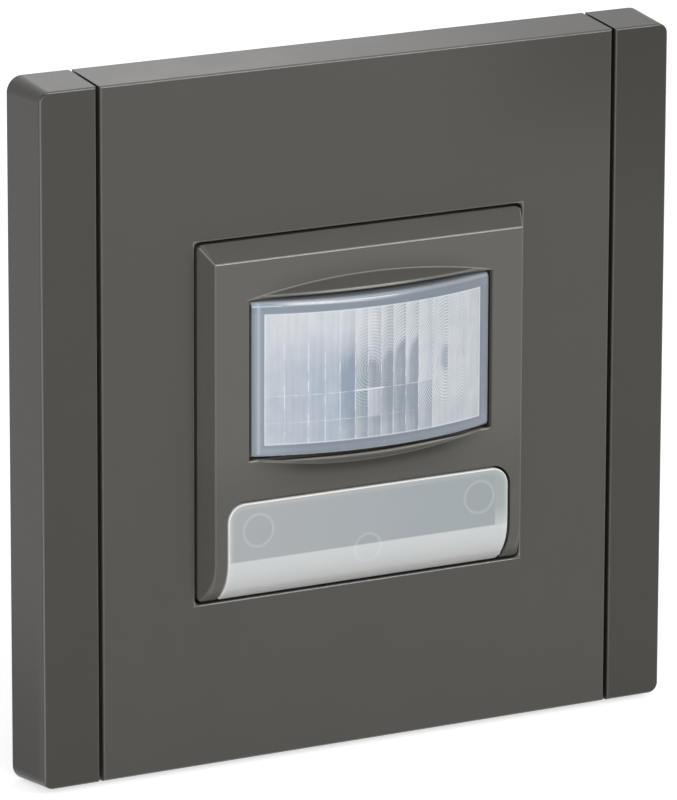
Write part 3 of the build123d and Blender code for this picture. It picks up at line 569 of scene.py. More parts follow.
@dataclass(frozen=True)
class CoverPaint(MouldedPlastic):
    """The cover's paint, with painted highlights along its creases and painted shade beside the eyelids.
    Places are in millimetres.

    An arc is the height of its middle and its radius. A lid's arc is where it leaves the cover's front, and
    its tip is its foremost edge.
    """

    front: float = 10.25
    half: float = 22.5
    side_bevel: float = 1.1
    top_bevel: float = 2.0
    lid_half_width: float = 16.4
    upper_arc: tuple[float, float] = (17.35, 84.85)
    upper_tip: tuple[float, float] = (15.75, 941.0)
    lower_arc: tuple[float, float] = (-6.5, -73.6)
    lower_tip: tuple[float, float] = (-5.3, -176.8)
    lower_reach: float = 0.9
    opening_half: float = 16.8
    opening_low: float = -4.5
    opening_high: float = 15.6

    def beyond(self, arc: tuple[float, float], x: Signal, z: Signal) -> Signal:
        """Distance beyond an arc on the cover's front, negative on the eyelid's side.

        Args:
            arc: Height of the arc's middle, and its radius, which is negative for an arc that bulges down.
            x: The place across.
            z: The height.

        Returns:
            The distance.
        """
        apex, radius = arc
        return hypotenuse(x, z - (apex - radius)) - abs(radius)

    def painted_highlights(self, graph: Graph, x: Signal, y: Signal, z: Signal) -> Signal:
        """Mask of the painted highlights along the creases: top, sides, the diagonals between them, and the
        upper eyelid's arc, with painted light over the left bevel and on the eyelids.
        """
        side = (self.half - abs(x)) / self.side_bevel
        top = (self.half - z) / self.top_bevel
        diagonal = abs(side - top).step(0.12, 0.04) * side.step(1.05, 0.95)
        crease = abs(top - 1.0).step(0.07, 0.02) * side.step(0.9, 1.0)
        upright = abs(side - 1.0).step(0.12, 0.04) * 0.2 * top.step(0.9, 1.0)
        arc = abs(self.beyond(self.upper_arc, x, z)).step(0.1, 0.03) * z.step(15.5, 15.9)
        arc = arc * y.step(-self.front - 0.3, -self.front - 0.1, 0.0, 0.8)
        # Painted light over the left side bevel.
        bevel = side.step(1.0, 0.9, 0.0, 0.11) * x.step(0.0, -20.0)
        lines = largest(diagonal, crease, upright, arc, bevel, self.lid_highlights(x, y, z))
        return lines * y.step(3.0 - self.front, 2.6 - self.front)

    def lid_highlights(self, x: Signal, y: Signal, z: Signal) -> Signal:
        """Mask of painted highlights on the eyelids' front edges, more weakly on the lower eyelid's face, and
        under the opening's corners.
        """
        across = abs(x)
        ends = across.step(self.lid_half_width + 0.2, self.lid_half_width - 3.0)
        ends = ends * abs(x + 2.0).step(10.0, 3.0, 0.3, 1.0)
        brow = abs(self.beyond(self.upper_tip, x, z) - 0.2).step(0.24, 0.12) * ends
        brow = brow * y.step(-self.front - 0.01, -self.front - 0.08)
        line = abs(self.beyond(self.lower_tip, x, z) + 0.02).step(0.26, 0.1, 0.0, 1.2)
        line = line * self.along_ledge(x, y).step(0.45, 0.75) * across.step(15.5, 9.0, 0.25, 1.0)
        face = self.beyond(self.lower_arc, x, z)
        fold = abs(face + 0.22).step(0.25, 0.08, 0.0, 0.28)
        lip = largest(line, fold) * face.step(0.03, -0.03) * z.step(-4.0, -4.6)
        lip = lip * across.step(self.lid_half_width, self.lid_half_width - 0.6)
        return largest(brow, lip, self.corner_glints(across, z))

    def along_ledge(self, x: Signal, y: Signal) -> Signal:
        """Place on the lower eyelid's ledge, from 0 at the cover's front to 1 at the eyelid's tip."""
        reach = x * x * (-self.lower_reach / self.lid_half_width**2) + self.lower_reach
        return (-self.front - y) / largest(reach, 0.03)

    def corner_glints(self, across: Signal, z: Signal) -> Signal:
        """Mask of the two short painted highlights under the opening's lower corners."""
        beside = across.band(self.opening_half - 1.3, self.opening_half - 0.05, 0.6)
        return beside * z.band(self.opening_low - 0.3, self.opening_low - 0.08, 0.1) * 0.9

    def painted_shade(self, graph: Graph, x: Signal, y: Signal, z: Signal) -> Signal:
        """Mask of the painted shade: above the upper eyelid, below the lower one, round the lens and towards
        the bottom.
        """
        upper = self.beyond(self.upper_arc, x, z)
        lower = self.beyond(self.lower_arc, x, z)
        above = upper.step(2.6, 0.0, 0.0, 0.2) * upper.step(-0.02, 0.02) * z.step(14.0, 15.5)
        below = lower.step(1.6, 0.0, 0.0, 0.55) + lower.step(5.0, 0.0, 0.0, 0.3)
        below = below * lower.step(-0.02, 0.02) * z.step(-3.0, -4.5)
        painted_shade_mask = (above + below) * abs(x).step(self.lid_half_width + 2.0, 8.0)
        # Painted shade in the gap under the lens.
        trough = self.beyond(self.lower_tip, x, z).step(0.12, 0.02) * z.step(-3.9, -4.1)
        trough = trough * self.along_ledge(x, y).step(0.65, 0.4)
        trough = trough * x.band(-self.opening_half, self.opening_half, 0.1)
        # Painted shadow beside the opening's right side.
        beside = x.band(self.opening_half - 0.1, self.opening_half + 0.35, 0.35)
        beside = beside * z.band(self.opening_low, self.opening_high, 0.3)
        return (largest(painted_shade_mask, trough, beside) + z.step(-2.0, -9.0, 0.0, 0.2)).clamped()


@dataclass(frozen=True)
class HousingPlastic(MouldedPlastic):
    """The insert's moulding, with ejector marks and a line round each wire entry, drawn as rings of painted
    shade. In millimetres.
    """

    back: float = 30.0
    entry_pitch: float = 8.06
    entry_count: int = 4
    entry_z: float = -15.3
    entry_ring: float = 2.7
    ejector_x: float = 12.0
    ejector_z: float = 12.0
    ejector_ring: float = 1.75
    line_width: float = 0.2

    def painted_shade(self, graph: Graph, x: Signal, y: Signal, z: Signal) -> Signal:
        """Mask of the rings of painted shade on the back wall."""
        middle = (self.entry_count - 1) / 2
        entries = [((index - middle) * self.entry_pitch, self.entry_z, self.entry_ring)
                   for index in range(self.entry_count)]
        ejectors = [(side * self.ejector_x, self.ejector_z, self.ejector_ring) for side in (-1, 1)]
        rings = Effects.all_rings(graph, x, z, self.line_width, (*entries, *ejectors))
        mask = largest(*(ring["Mask"] for ring in rings))
        return mask * y.step(self.back - 0.3, self.back - 0.1, 0.0, 0.6)


@dataclass(frozen=True)
class PlatedMetal:
    """Rolled or plated metal with fine lines along one axis and dull spots."""

    name: str
    colour: Colour
    roughness: float = 0.32
    line_size: float = 0.3 * MM
    stretch: Colour = (1.0, 1.0, 12.0)

    def build(self) -> bpy.types.Material:
        """Makes the material."""
        material, graph, shader = new_material(self.name)
        vector, *_ = graph.place()
        lines = graph.noise(vector, self.line_size, 3.0, self.stretch)
        spots = graph.noise(vector, 3 * MM, 4.0).step(0.45, 0.7)
        graph.fill(shader, Base_Color=graph.mix(spots * 0.6, self.colour, toned(self.colour, 0.78)),
                   Roughness=lines * 0.12 + (spots * 0.14 + self.roughness),
                   Normal=graph.bump(lines, 0.004 * MM), Metallic=1.0)
        return material


@dataclass(frozen=True)
class BoardLaminate:
    """Circuit board laminate with solder resist, and tracks that show as raised, lighter lines."""

    name: str
    colour: Colour
    weave_colour: Colour = (0.03, 0.12, 0.05)
    track_pitch: float = 1.9 * MM

    def build(self) -> bpy.types.Material:
        """Makes the material."""
        material, graph, shader = new_material(self.name)
        vector, *_ = graph.place()
        turned = graph.node("Mapping")
        graph.fill(turned, Vector=vector, Rotation=(math.radians(90), 0.0, 0.0))
        maze = graph.node("TexBrick", offset=0.37, offset_frequency=2, squash=0.6, squash_frequency=3)
        graph.fill(maze, Vector=turned.outputs[0], Scale=1 / self.track_pitch, Mortar_Size=0.06,
                   Brick_Width=2.4, Row_Height=0.7)
        tracks = Signal(graph, maze.outputs["Fac"])
        lighter = tuple(min(1.0, channel * 1.7 + 0.02) for channel in self.colour)
        weave = graph.noise(vector, 0.5 * MM, 1.0, (1.0, 1.0, 4.0))
        base = graph.layered(self.colour, (weave * 0.3, self.weave_colour), (tracks, lighter))
        graph.fill(shader, Base_Color=base, Roughness=weave * 0.15 + 0.25,
                   Normal=graph.bump(tracks, 0.035 * MM))
        return material


@dataclass(frozen=True)
class ClearResin:
    """Clear or tinted cast resin."""

    name: str
    colour: Colour
    transmission: float = 0.7
    roughness: float = 0.12

    def build(self) -> bpy.types.Material:
        """Makes the material."""
        material, graph, shader = new_material(self.name)
        vector, *_ = graph.place()
        cloud = graph.noise(vector, 1.2 * MM, 3.0)
        graph.fill(shader, Base_Color=graph.mix(cloud, self.colour, toned(self.colour, 0.9)),
                   Roughness=cloud * 0.08 + self.roughness, Transmission_Weight=self.transmission)
        return material


@dataclass(frozen=True)
class Segment:
    """One upright column of lens segments.

    Places are in millimetres. Shades run from 0, pale, to 1, deep. The rings are ellipses about ring_x, and
    the middle of the column is deep up to deep_reach from there.
    """

    left: float
    high_shade: float
    low_shade: float
    ring_share: float = 0.0
    ring_x: float = 0.0
    ring_squeeze: float = 2.0
    deep_reach: float = 0.0


@dataclass(frozen=True)
class MilkyLens:
    """Milky lens plastic: a plain blue-grey border round a paler field of segments with fine moulded rings.

    Places and sizes are in millimetres, in the plane of the frame. Rows of segments meet at row_high and
    row_low. The middle of the field runs from middle_left to lines_end, where the pale lines end, and has
    its own shades. The eye is the segment with the large rings at the right, from eye_left.
    """

    name: str = "lens_milky"
    # The border goes from border_left to border_right, which is painted shade towards the right.
    border_left: Colour = (0.275, 0.33, 0.395)
    border_right: Colour = (0.163, 0.193, 0.232)
    border_low: Colour = (0.19, 0.225, 0.27)
    border_top: Colour = (0.19, 0.25, 0.31)
    border_inner: Colour = (0.11, 0.14, 0.18)
    stripe: Colour = (0.38, 0.40, 0.47)
    streak: Colour = (0.40, 0.42, 0.47)
    # Painted shade where the border turns away, painted light along its top edge, and a painted highlight
    # along the top.
    painted_edge_shade: Colour = (0.06, 0.075, 0.09)
    painted_top_light: Colour = (0.48, 0.53, 0.58)
    painted_shine: Colour = (0.80, 0.82, 0.84)
    pale: Colour = (0.60, 0.625, 0.66)
    deep: Colour = (0.228, 0.273, 0.323)
    deep_left: Colour = (0.255, 0.325, 0.43)
    line: Colour = (0.70, 0.73, 0.76)
    half_width: float = 16.5
    low: float = -4.2
    high: float = 15.3
    field_half: float = 15.05
    field_low: float = -2.7
    field_high: float = 13.8
    segments: tuple[Segment, ...] = (
        Segment(-15.05, 0.36, 0.42), Segment(-12.7, 0.52, 0.54), Segment(-9.8, 0.62, 0.60),
        Segment(-7.7, 0.56, 0.62), Segment(-5.8, 0.88, 0.90), Segment(-3.8, 0.55, 0.82, 0.4, -1.75, 1.2),
        Segment(-2.1, 0.48, 0.80, 0.5, -1.75, 1.15, 1.35), Segment(-0.3, 0.50, 0.86, 0.5, 0.85, 2.0, 2.2),
        Segment(1.4, 0.36, 0.92, 0.9, 3.2, 2.0, 3.5), Segment(3.2, 0.34, 0.95, 0.9, 5.5, 2.0, 3.8),
        Segment(5.1, 0.30, 0.62, 1.0, 8.3), Segment(7.2, 0.30, 0.34, 1.0, 9.35, 2.0, 1.76),
        Segment(9.6, 0.30, 0.34, 0.9, 12.6), Segment(12.3, 0.34, 0.36, 0.5, 15.4))
    ring_z: float = 5.9
    ring_pitch: float = 0.4
    row_high: float = 3.44
    row_low: float = 0.05
    middle_left: float = -5.8
    glint_left: float = -2.1
    glint_right: float = -0.3
    lines_end: float = 5.1
    eye_left: float = 7.2

    def column_place(self, graph: Graph, x: Signal) -> tuple[Signal, Signal]:
        """Works out where a point lies among the columns.

        Args:
            graph: The material's graph.
            x: The place across.

        Returns:
            The number of the column, and the place inside it from 0 to 1.
        """
        span = 2 * self.field_half
        columns = len(self.segments)
        curve = graph.node("FloatCurve")
        points = curve.mapping.curves[0].points
        points[0].location = (0.0, 0.0)
        points[1].location = (1.0, 1.0)
        for index, segment in enumerate(self.segments[1:], start=1):
            points.new((segment.left + self.field_half) / span, index / columns)
        for point in points:
            point.handle_type = "VECTOR"
        curve.mapping.update()
        graph.fill(curve, Value=x * (1 / span) + 0.5)
        number = Signal(graph, curve.outputs[0]) * float(columns)
        return graph.math("FLOOR", number), graph.math("FRACT", number)

    def by_column(self, column: Signal, quantity: str) -> Signal:
        """Looks up one of the segments' values.

        Args:
            column: The column's number.
            quantity: The name of the segments' field.

        Returns:
            The value.
        """
        values = [getattr(segment, quantity) for segment in self.segments]
        least = min(values)
        span = max(values) - least
        ramp = column.graph.node("ValToRGB")
        ramp.color_ramp.interpolation = "CONSTANT"
        elements = ramp.color_ramp.elements
        elements[1].position = 1 / len(values)
        for index, value in enumerate(values):
            element = elements[index] if index < 2 else elements.new(index / len(values))
            element.color = ((value - least) / span,) * 3 + (1.0,)
        column.graph.feed(ramp.inputs[0], (column + 0.5) / float(len(values)))
        return Signal(column.graph, ramp.outputs[0]) * span + least

    def beyond_reach(self, graph: Graph, x: Signal, z: Signal, column: Signal) -> Signal:
        """Distance beyond a segment's deep middle, which goes on down to the row left of the eye."""
        up = z - self.ring_z
        down = up * -1.0 * x.step(self.eye_left - 0.1, self.eye_left + 0.1)
        around = graph.group(Effects.fresnel_rings(), X=x, Z=largest(up, down), Pitch=1.0,
                             Centre_X=self.by_column(column, "ring_x"), Centre_Z=0.0,
                             Squeeze=self.by_column(column, "ring_squeeze"))
        return around["Distance"] - self.by_column(column, "deep_reach")

    def field_shade(self, graph: Graph, place: tuple[Signal, Signal, Signal], column: Signal, share: Signal,
                    deep: Signal) -> Signal:
        """Shade of the field before its lines and rings.

        Args:
            graph: The material's graph.
            place: The place in metres, and its X and Z in millimetres.
            column: The column's number.
            share: The place in the column, from 0 to 1.
            deep: Mask of the deep middles of the segments.

        Returns:
            The shade.
        """
        vector, x, z = place
        middle = x.band(self.middle_left, self.lines_end, 0.1)
        veil = z.step(6.0, 12.5, 0.0, 0.85) * x.step(3.0, -3.0)
        upper = self.by_column(column, "high_shade") * (1.0 - veil)
        upper = graph.blend(deep, upper + z.step(9.0, 4.5, 0.0, 0.22) * middle, 0.92)
        below = z.step(self.row_high + 0.05, self.row_high - 0.05)
        shade = graph.blend(below, upper, self.by_column(column, "low_shade"))
        shade = shade - z.step(0.3, -2.0) * middle * 0.14
        glint = x.band(self.glint_left, self.glint_right, 0.1) * z.band(0.0, self.row_high, 0.6)
        slope = graph.blend(x.band(self.middle_left, self.eye_left, 0.1), 0.12, 0.4)
        shade = shade - glint * 0.35 + (share - 0.5) * slope
        streaks = graph.noise(vector, 0.8 * MM, 3.0, (1.6, 1.0, 0.12)) - 0.5
        clouds = graph.noise(vector, 2.2 * MM, 3.0) - 0.5
        return (shade + streaks * 0.5 + clouds * 0.35).clamped()

    def ring_strength(self, graph: Graph, x: Signal, z: Signal, column: Signal, deep: Signal) -> Signal:
        """How strongly the rings show.

        Args:
            graph: The material's graph.
            x: The place across.
            z: The height.
            column: The column's number.
            deep: Mask of the deep middles of the segments.

        Returns:
            The strength.
        """
        shown = self.by_column(column, "ring_share") * (1.0 - deep * 0.75)
        lowest = graph.blend(x.step(self.lines_end - 0.05, self.lines_end + 0.05), self.row_high, 0.3)
        lowest = graph.blend(x.step(self.glint_left + 0.05, self.glint_left - 0.05), lowest, 1.6)
        corner = x.step(12.2, 12.4) * z.step(8.5, 11.0, 0.0, 0.9)
        return shown * (z - lowest).step(-0.8, 0.8) * (1.0 - corner)

    def lines(self, graph: Graph, vector: Signal, x: Signal, z: Signal, share: Signal) -> Signal:
        """Mask of the pale lines between the segments, broken here and there."""
        broken = graph.noise(vector, 1.1 * MM, 2.0, (1.0, 1.0, 0.6)).step(0.4, 0.6, 0.25, 1.0)
        broken = broken * z.step(7.0, 13.0, 1.0, 0.45)
        upright = abs(share - 0.5).step(0.452, 0.488)
        upright = upright * x.step(self.lines_end + 0.3, self.lines_end, 0.0, 0.85)
        high_row = z.band(self.row_high - 0.05, self.row_high + 0.05, 0.1)
        high_row = high_row * x.step(self.lines_end + 0.2, self.lines_end, 0.0, 0.7)
        low_row = z.band(self.row_low - 0.05, self.row_low + 0.05, 0.1) * x.step(5.0, -4.0, 0.15, 0.6)
        glints = x.band(-3.9, 0.1, 0.6) * z.band(self.row_high - 0.06, self.row_high + 0.12, 0.1)
        inside = smallest(self.field_half - abs(x), z - self.field_low, self.field_high - z)
        inner = largest(upright, high_row, low_row) * broken
        return largest(inner, glints, inside.step(0.26, 0.1, 0.0, 0.5))

    def border(self, graph: Graph, vector: Signal, x: Signal, z: Signal) -> Signal:
        """Colour of the plain border: painted shade towards the right and where it turns away at its sides,
        darker below, faint stripes at the left, painted light along its top edge and a painted highlight
        along the top.
        """
        cloud = graph.noise(vector, 2.5 * MM, 2.0) - 0.5
        across = (cloud * 0.3 + x.step(-self.half_width, self.half_width * 0.9)).clamped()
        left = x + self.half_width
        right = self.half_width - x
        under = z - self.low
        lowered = z + x.step(-11.0, 0.0) * 0.16
        below = z.step(self.field_low + 0.4, self.field_low - 0.2) * x.step(-15.5, -9.0, 0.1, 0.8)
        stripes = graph.noise(vector, 0.5 * MM, 1.0, (1.6, 1.0, 0.05)).step(0.5, 0.72, 0.0, 0.4)
        inner = smallest(left, right, under).step(0.9, 1.3, 0.0, 0.3)
        # Painted shade where the border turns away at its left and right edges.
        turned = largest(left.step(0.75, 0.0, 0.0, 0.5), right.step(0.6, 0.0, 0.0, 0.4))
        # Where the painted highlight along the top shows.
        bright = x.step(-14.5, -11.0) * x.step(6.0, -10.0, 0.0, 0.8)
        return graph.layered(
            graph.mix(across, self.border_left, self.border_right), (below, self.border_low),
            (stripes * x.step(-14.5, -15.5, 0.15, 1.0), self.stripe),
            (z.step(self.field_high, self.field_high + 0.3, 0.0, 0.35), self.border_top),
            (under.step(0.3, 0.12, 0.0, 0.55), self.pale), (left.band(0.68, 0.92, 0.25), self.streak),
            (inner, self.border_inner), (turned, self.painted_edge_shade),
            (z.step(self.high - 0.6, self.high - 0.1, 0.0, 0.6), self.painted_top_light),
            (bright * lowered.band(self.high - 0.52, self.high - 0.2, 0.3), self.painted_shine))

    def build(self) -> bpy.types.Material:
        """Makes the material."""
        material, graph, shader = new_material(self.name)
        vector, x, _, z = graph.place()
        inside = x.band(-self.field_half, self.field_half, 0.1) * z.band(self.field_low, self.field_high, 0.1)
        column, share = self.column_place(graph, x)
        rings = graph.group(Effects.fresnel_rings(), X=x, Z=z, Pitch=self.ring_pitch,
                            Centre_X=self.by_column(column, "ring_x"), Centre_Z=self.ring_z,
                            Squeeze=self.by_column(column, "ring_squeeze"))["Height"]
        deep = self.beyond_reach(graph, x, z, column).step(0.6, -0.9) * x.step(7.0, 7.4, 1.0, 0.7)
        shown = self.ring_strength(graph, x, z, column, deep)
        contrast = (rings - 0.5) * shown
        shade = (self.field_shade(graph, (vector, x, z), column, share, deep) - contrast * 0.55).clamped()
        lines = self.lines(graph, vector, x, z, share)
        deepest = graph.mix(x.step(-2.0, -7.0), self.deep, self.deep_left)
        bright = largest(lines, (contrast * 1.3).clamped())
        tone = graph.layered(self.pale, (shade, deepest), (bright, self.line))
        relief = (rings * shown + lines) * inside
        graph.fill(shader, Base_Color=graph.mix(inside, self.border(graph, vector, x, z), tone),
                   Normal=graph.bump(relief, 0.03 * MM, 0.5), Roughness=graph.blend(inside, 0.3, 0.42),
                   Subsurface_Weight=0.4, Subsurface_Radius=WHITE, Subsurface_Scale=0.7 * MM, Coat_Weight=0.7,
                   Coat_Roughness=0.1)
        return material


@dataclass(frozen=True)
class FrostedFlap:
    """Frosted flap plastic, made opaque: a darker window with painted shade of the inside behind it, a paler
    bend, a painted highlight along its rim and three ring marks.

    Places and sizes are in millimetres. A ring mark is its place across, its height and its radius. The
    margin right of the window turns pale below margin_turn, and the bend darkens from bend_high to bend_low.
    """

    name: str = "flap_frosted"
    window_left: Colour = (0.350, 0.369, 0.387)
    window_right: Colour = (0.300, 0.340, 0.360)
    side: Colour = (0.32, 0.365, 0.36)
    pale: Colour = (0.560, 0.585, 0.595)
    pale_low: Colour = (0.545, 0.550, 0.535)
    # Colour of the painted highlight along the rim, also used for the ring marks.
    rim: Colour = (0.80, 0.80, 0.77)
    half_width: float = 19.65
    high: float = -9.9
    corner: float = 2.3
    window_low_x: float = -19.05
    window_high_x: float = 17.8
    window_low_z: float = -17.25
    margin_turn: float = -14.5
    bend_high: float = -18.5
    bend_low: float = -22.4
    ring_marks: tuple[tuple[float, float, float], ...] = ((-15.5, -13.5, 2.02), (-0.2, -17.75, 1.8),
                                                          (15.5, -13.35, 2.02))
    ring_width: float = 0.3

    def inward(self, x: Signal, z: Signal) -> Signal:
        """Distance inside the flap's outline, with its round upper corners."""
        across = abs(x) - (self.half_width - self.corner)
        up = z - (self.high - self.corner)
        outward = hypotenuse(largest(across, 0.0), largest(up, 0.0))
        return self.corner - (outward + smallest(largest(across, up), 0.0))

    def build(self) -> bpy.types.Material:
        """Makes the material."""
        material, graph, shader = new_material(self.name)
        vector, x, _, z = graph.place()
        cloud = graph.noise(vector, 6 * MM, 3.0)
        marks = Effects.all_rings(graph, x, z, self.ring_width, self.ring_marks)
        rings = sum(mark["Mask"] for mark in marks)
        discs = sum(mark["Inside"] for mark in marks)
        left_right = (cloud * 0.3 + x.step(-self.half_width, self.half_width) - 0.15).clamped()
        # The window is painted darker for the shaded inside that shows through it.
        window = graph.layered(self.window_left, (left_right, self.window_right),
                               (discs * 0.12, toned(self.side, 0.7)))
        margin = graph.mix(z.step(self.margin_turn, self.window_low_z, 0.0, 0.6), self.side, self.pale)
        bend = graph.mix(z.step(self.bend_high, self.bend_low), self.pale, self.pale_low)
        inward = self.inward(x, z)
        # Painted highlight along the flap's edges.
        rim = largest(inward.step(0.26, 0.14), inward.step(1.0, 0.3, 0.0, 0.12))
        base = graph.layered(
            window, (x.step(self.window_high_x - 0.1, self.window_high_x + 0.1), margin),
            (x.step(self.window_low_x, self.window_low_x - 0.2, 0.0, 0.3), self.pale),
            (z.step(self.window_low_z + 0.12, self.window_low_z - 0.12), bend), (rings * 0.17, self.rim),
            (rim, self.rim))
        graph.fill(shader, Base_Color=base, Roughness=cloud * 0.08 + 0.3,
                   Normal=graph.bump(rings, 0.015 * MM, 0.4), Coat_Weight=0.3, Coat_Roughness=0.15)
        return material


FRAME_PAINT = FramePaint("frame_paint", (0.0499, 0.0452, 0.0382), roughness=0.30, painted_light_strength=0.35)
STRIP_PAINT = FramePaint("strip_paint", (0.0304, 0.0270, 0.0216), roughness=0.30, painted_light_strength=0.35)
COVER_PAINT = CoverPaint("cover_paint", (0.086, 0.083, 0.0725), roughness=0.32, painted_light_strength=0.75)
BLACK_PLASTIC = MouldedPlastic("black_plastic", (0.012, 0.012, 0.012), roughness=0.5)
GREY_PLASTIC = MouldedPlastic("grey_plastic", (0.30, 0.31, 0.305), roughness=0.42, mottle=0.04)
HOUSING_PLASTIC = HousingPlastic("housing_plastic", GREY_PLASTIC.colour, roughness=0.42, mottle=0.04,
                                 painted_light_strength=0.3)
SCALE_PRINT = MouldedPlastic("scale_print", (0.60, 0.60, 0.57), roughness=0.5)
ADJUSTER_PLASTIC = MouldedPlastic("adjuster_plastic", (0.62, 0.61, 0.57), roughness=0.38)
POTENTIOMETER_PLASTIC = MouldedPlastic("potentiometer_plastic", (0.03, 0.07, 0.19), roughness=0.35)
RELAY_PLASTIC = MouldedPlastic("relay_plastic", (0.02, 0.023, 0.028), roughness=0.25, coat=0.3)
CAPACITOR_PLASTIC = MouldedPlastic("capacitor_plastic", (0.46, 0.30, 0.03), roughness=0.3, coat=0.4)
SLEEVE_PLASTIC = MouldedPlastic("sleeve_plastic", (0.015, 0.022, 0.06), roughness=0.28, coat=0.5)
FERRITE = MouldedPlastic("ferrite", (0.035, 0.035, 0.038), roughness=0.6, grain_depth=0.02 * MM)
VARISTOR_COATING = MouldedPlastic("varistor_coating", (0.03, 0.08, 0.30), roughness=0.35,
                                  grain_depth=0.03 * MM)
ZINC_STEEL = PlatedMetal("zinc_steel", (0.56, 0.56, 0.54))
CLAMP_BRASS = PlatedMetal("clamp_brass", (0.68, 0.47, 0.17), roughness=0.28)
NICKEL_CAN = PlatedMetal("nickel_can", (0.62, 0.59, 0.52), roughness=0.22)
GREEN_LAMINATE = BoardLaminate("green_laminate", (0.012, 0.07, 0.025))
CLEAR_RESIN = ClearResin("clear_resin", (0.85, 0.87, 0.84))
DARK_WINDOW = ClearResin("dark_window", (0.03, 0.02, 0.03), transmission=0.2, roughness=0.06)


# Sub-assemblies


@dataclass
class SubAssembly:
    """Some CAD nodes with their finishes, and the pieces added to them."""

    nodes: dict[str, bpy.types.Object]
    finishes: dict[str, object] = field(default_factory=dict)

    def dress(self) -> None:
        """Gives each node of this sub-assembly its finish.

        A finish is built once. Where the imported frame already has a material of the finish's name, as for
        the inner pieces, that material is used instead and the finish isn't built.
        """
        for name, finish in self.finishes.items():
            material = bpy.data.materials.get(finish.name) or finish.build()
            for slot in self.nodes[name].material_slots:
                slot.material = material
            log.info("%s: %s", name, finish.name)

    def add_pieces(self) -> None:
        """Adds the pieces that only the looks need. Most sub-assemblies have none."""


@dataclass
class DialScales:
    """Raised tick marks on the recess floor round the adjusters. Lengths are in metres."""

    name: str = "dial_scales"
    adjusters: tuple[str, ...] = ("time_adjuster", "brightness_adjuster", "range_adjuster")
    floor_behind: float = 1.6 * MM
    inner_radius: float = 2.5 * MM
    short: float = 0.35 * MM
    long: float = 0.6 * MM
    width: float = 0.16 * MM
    height: float = 0.07 * MM
    sunk: float = 0.02 * MM
    edge: float = 0.025 * MM
    ticks: int = 11
    span: float = math.radians(270)

    def add_tick(self, shape: bmesh.types.BMesh, centre: Vector, angle: float, length: float) -> None:
        """Adds one tick.

        Args:
            shape: The mesh to add it to.
            centre: The scale's centre on the floor.
            angle: Its angle from upright, clockwise as seen from the room.
            length: Its length outwards.
        """
        place = Matrix.Translation(centre) @ Matrix.Rotation(angle, 4, "Y")
        offset = Matrix.Translation((0.0, (self.sunk - self.height) / 2, self.inner_radius + length / 2))
        size = Matrix.Diagonal((self.width, self.height + self.sunk, length, 1.0))
        bmesh.ops.create_cube(shape, size=1.0, matrix=place @ offset @ size)

    def build(self) -> None:
        """Makes the three scales as one piece on the head."""
        shape = bmesh.new()
        for adjuster in self.adjusters:
            low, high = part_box(adjuster)
            centre = Vector(((low.x + high.x) / 2, low.y + self.floor_behind, (low.z + high.z) / 2))
            for index in range(self.ticks):
                share = index / (self.ticks - 1)
                length = self.long if share in (0.0, 0.5, 1.0) else self.short
                self.add_tick(shape, centre, (share - 0.5) * self.span, length)
        bmesh.ops.bevel(shape, geom=shape.edges[:], offset=self.edge, segments=2, profile=0.5, affect="EDGES",
                        material=-1)
        bmesh.ops.recalc_face_normals(shape, faces=shape.faces)
        piece = add_object(self.name, shape, SCALE_PRINT.build())
        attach(piece, "base")
        log.info("%s: %d ticks round each of %d adjusters", self.name, self.ticks, len(self.adjusters))


def add_object(name: str, shape: bmesh.types.BMesh, material: bpy.types.Material) -> bpy.types.Object:
    """Turns a finished bmesh into an object of the scene.

    Args:
        name: The name of the object and its mesh.
        shape: The mesh. It is freed.
        material: Its material.

    Returns:
        The object.
    """
    mesh = bpy.data.meshes.new(name)
    shape.to_mesh(mesh)
    shape.free()
    mesh.materials.append(material)
    made = bpy.data.objects.new(name, mesh)
    bpy.context.scene.collection.objects.link(made)
    return made


@dataclass
class FrameFronts(SubAssembly):
    """The frame: a middle panel, two side strips and the carrier behind them."""

    finishes: dict[str, object] = field(default_factory=lambda: {
        "centre_panel": FRAME_PAINT, "left_side_strip": STRIP_PAINT, "right_side_strip": STRIP_PAINT,
        "frame_carrier": BLACK_PLASTIC})


@dataclass
class SupportPlate(SubAssembly):
    """The steel plate that the wall box's screws hold, with its rivets."""

    finishes: dict[str, object] = field(default_factory=lambda: {
        "support_plate": ZINC_STEEL, "housing_rivets": ZINC_STEEL})


@dataclass
class SensorHead(SubAssembly):
    """The square head: cover, lens, flap, adjusters and the board behind them."""

    finishes: dict[str, object] = field(default_factory=lambda: {
        "sensor_cover": COVER_PAINT, "fresnel_lens": MilkyLens(), "lens_retainer": BLACK_PLASTIC,
        "settings_flap": FrostedFlap(), "time_adjuster": ADJUSTER_PLASTIC,
        "brightness_adjuster": ADJUSTER_PLASTIC, "range_adjuster": ADJUSTER_PLASTIC,
        "time_potentiometer": POTENTIOMETER_PLASTIC,
        "brightness_potentiometer": POTENTIOMETER_PLASTIC, "range_potentiometer": POTENTIOMETER_PLASTIC,
        "sensor_board": GREEN_LAMINATE, "sensor_back_cover": BLACK_PLASTIC, "head_screws": ZINC_STEEL,
        "pir_sensor_can": NICKEL_CAN, "pir_window": DARK_WINDOW, "light_sensor": CLEAR_RESIN,
        "indicator_led": CLEAR_RESIN, "controller_chip": BLACK_PLASTIC, "plug_header": BLACK_PLASTIC})

    def add_pieces(self) -> None:
        """Adds the scales round the adjusters."""
        DialScales().build()


